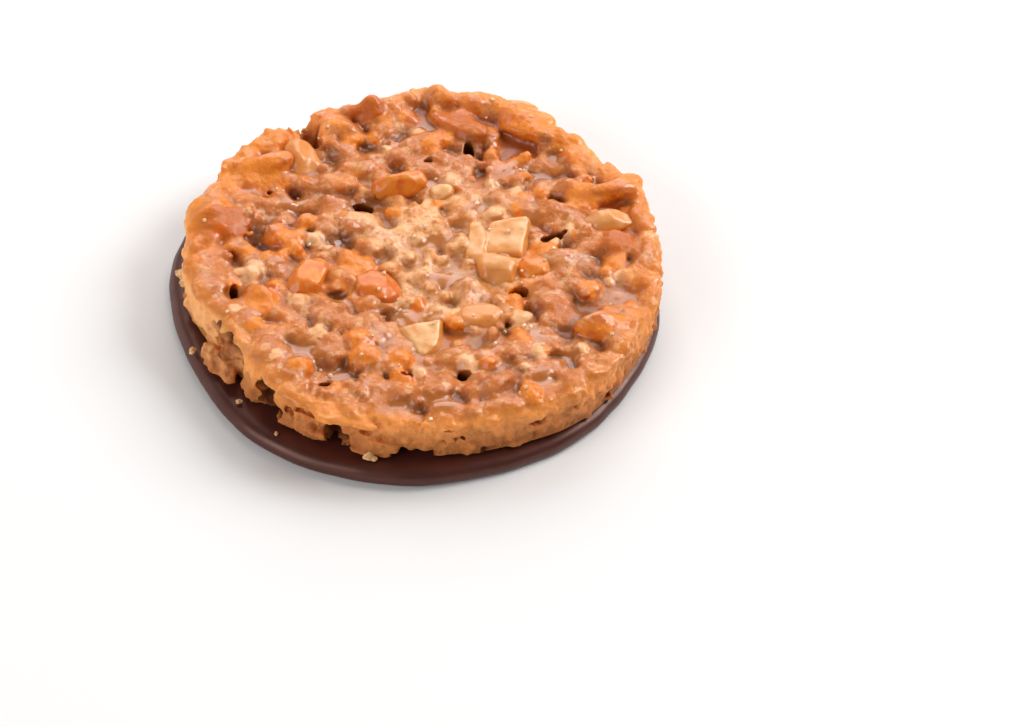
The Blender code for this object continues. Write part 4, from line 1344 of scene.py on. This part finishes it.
def darkChocolateMaterial():
    material, tree, shader = newMaterial("darkChocolate")
    look = chocolateLook
    broad, middle = mottleIn(tree, 6.0, 0.8)[:2]
    setInputs(tree, shader, {
        "Base Color": mixColours(tree, remap(tree, broad, 0.35, 0.65), look["dark"], look["light"]),
        "Roughness": remap(tree, middle, 0.3, 0.7, 0.34, 0.44),
        "Normal": bumpFrom(tree, middle, 0.08, 0.3), **chocolateFinish})
    return material


sugarLook = {"clear": (0.9, 0.68, 0.43, 1), "golden": (0.82, 0.54, 0.29, 1)}


def sugarMaterial():
    material, tree, shader = newMaterial("sugar")
    look = sugarLook
    broad, middle, fine = mottleIn(tree, 3.0, 0.3)[:3]
    setInputs(tree, shader, {
        "Base Color": mixColours(tree, remap(tree, broad, 0.35, 0.65), look["clear"], look["golden"]),
        "Roughness": remap(tree, fine, 0.3, 0.7, 0.25, 0.45)})
    return material


crumbLook = {"pale": (0.8, 0.55, 0.28, 1), "toasted": (0.66, 0.32, 0.11, 1)}


def crumbMaterial():
    material, tree, shader = newMaterial("looseCrumb")
    look = crumbLook
    middle, fine = mottleIn(tree, 1.2, 0.2)[1:3]
    setInputs(tree, shader, {
        "Base Color": mixColours(tree, remap(tree, middle, 0.35, 0.65), look["pale"], look["toasted"]),
        "Roughness": 0.7,
        "Normal": bumpFrom(tree, fine, 0.4, 0.1)})
    return material


def dress(obj, material, replaces=None):
    obj.data.materials.clear()
    obj.data.materials.append(material)
    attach(obj, "root")
    if replaces:
        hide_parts(replaces)


# Studio

camera = {"lens": 120, "sensor": 36, "elevation": 44.14, "roll": 3.61, "distance": 404.7, "targetHeight": 9.0,
          "targetPixel": (427.8, 245.8)}
pictureSize = (1024, 727)


def placeCamera():
    # aimed so that the middle of the biscuit's top lands on the target pixel, with no lens shift
    data = bpy.data.cameras.new("studioCamera")
    data.lens = camera["lens"]
    data.sensor_width = camera["sensor"]
    obj = bpy.data.objects.new("studioCamera", data)
    bpy.context.scene.collection.objects.link(obj)
    elevation, roll = math.radians(camera["elevation"]), math.radians(camera["roll"])
    back = Vector((0, -math.cos(elevation), math.sin(elevation)))
    right = Vector((1, 0, 0))
    up = right.cross(-back)
    sine, cosine = math.sin(roll), math.cos(roll)
    turned = Matrix((right * cosine + up * sine, up * cosine - right * sine, -back))
    focal = camera["lens"] / camera["sensor"] * pictureSize[0]
    pixelX, pixelY = camera["targetPixel"]
    offset = ((pixelX - pictureSize[0] / 2) / focal, (pictureSize[1] / 2 - pixelY) / focal)
    toTarget = Vector((*offset, 1)).normalized()
    aimed = Vector((0, 0, 1)).rotation_difference(toTarget).to_matrix() @ turned
    target = biscuitAxis + Vector((0, 0, camera["targetHeight"] * mm))
    place = Matrix((aimed[0], aimed[1], -aimed[2])).transposed().to_4x4()
    place.translation = target + back * camera["distance"] * mm
    obj.matrix_world = place
    bpy.context.scene.camera = obj


# azimuth and elevation are round the biscuit, distance and size are in metres, and power is in watts
lights = {
    "keyLight": {"azimuth": 24, "elevation": 38, "distance": 0.9, "size": 0.5, "power": 7.0,
                 "colour": (1, 0.98, 0.96)},
    "backSoftbox": {"azimuth": 86, "elevation": 39, "distance": 0.8, "size": 0.7, "power": 4.3,
                    "colour": (1, 0.98, 0.98)},
    "leftCard": {"azimuth": 150, "elevation": 14, "distance": 0.9, "size": 0.7, "power": 1.5,
                 "colour": (1, 0.98, 0.97)},
    "frontFill": {"azimuth": -138, "elevation": 26, "distance": 0.9, "size": 0.65, "power": 4.6,
                  "colour": (1, 0.98, 0.96)},
}
room = {"strength": 0.16, "colour": (1, 1, 1, 1)}


def placeLights():
    for name, light in lights.items():
        data = bpy.data.lights.new(name, "AREA")
        data.shape = "SQUARE"
        data.size = light["size"]
        data.energy = light["power"]
        data.color = light["colour"]
        obj = bpy.data.objects.new(name, data)
        bpy.context.scene.collection.objects.link(obj)
        outward = directionOf(light["azimuth"], light["elevation"])
        obj.location = outward * light["distance"]
        obj.rotation_mode = "QUATERNION"
        obj.rotation_quaternion = outward.to_track_quat("Z", "Y")
    world = bpy.data.worlds.new("paleRoom")
    world.use_nodes = True
    background = world.node_tree.nodes["Background"]
    background.inputs["Color"].default_value = room["colour"]
    background.inputs["Strength"].default_value = room["strength"]
    bpy.context.scene.world = world
    bpy.context.scene.view_settings.view_transform = "Standard"


# halfWidth is in metres
floor = {"halfWidth": 1.5,
         "finish": {"Base Color": (0.86, 0.86, 0.86, 1), "Roughness": 0.8, "Specular IOR Level": 0.1}}


def layFloor():
    bm = bmesh.new()
    bmesh.ops.create_grid(bm, x_segments=1, y_segments=1, size=floor["halfWidth"])
    obj = newObject("paleFloor", bm)
    material, tree, shader = newMaterial("paleFloor")
    setInputs(tree, shader, floor["finish"])
    obj.data.materials.append(material)


bakedMottle = mottleGroup()
dough = buildDough()
dress(dough, caramelDoughMaterial(), "nut_biscuit")
print("dough dressed")
amberNuts = buildNuts("caramelNuts", ("amber", "red"))
dress(amberNuts, amberNutMaterial())
paleNuts = buildNuts("paleNuts", ("pale",))
dress(paleNuts, paleNutMaterial())
print("nuts chopped")
plate = buildChocolate()
dress(plate, darkChocolateMaterial(), "chocolate_base")
print("chocolate poured")
sugarCrystals = buildSugar(surfaceTree([dough, amberNuts, paleNuts]))
dress(sugarCrystals, sugarMaterial())
looseCrumbs = buildCrumbs()
dress(looseCrumbs, crumbMaterial())
print("sugar and crumbs scattered")
layFloor()
placeLights()
placeCamera()
print("studio set")

for piece in (dough, amberNuts, paleNuts, plate, sugarCrystals, looseCrumbs):
    print(piece.name, "triangles:", sum(len(face.vertices) - 2 for face in piece.data.polygons))
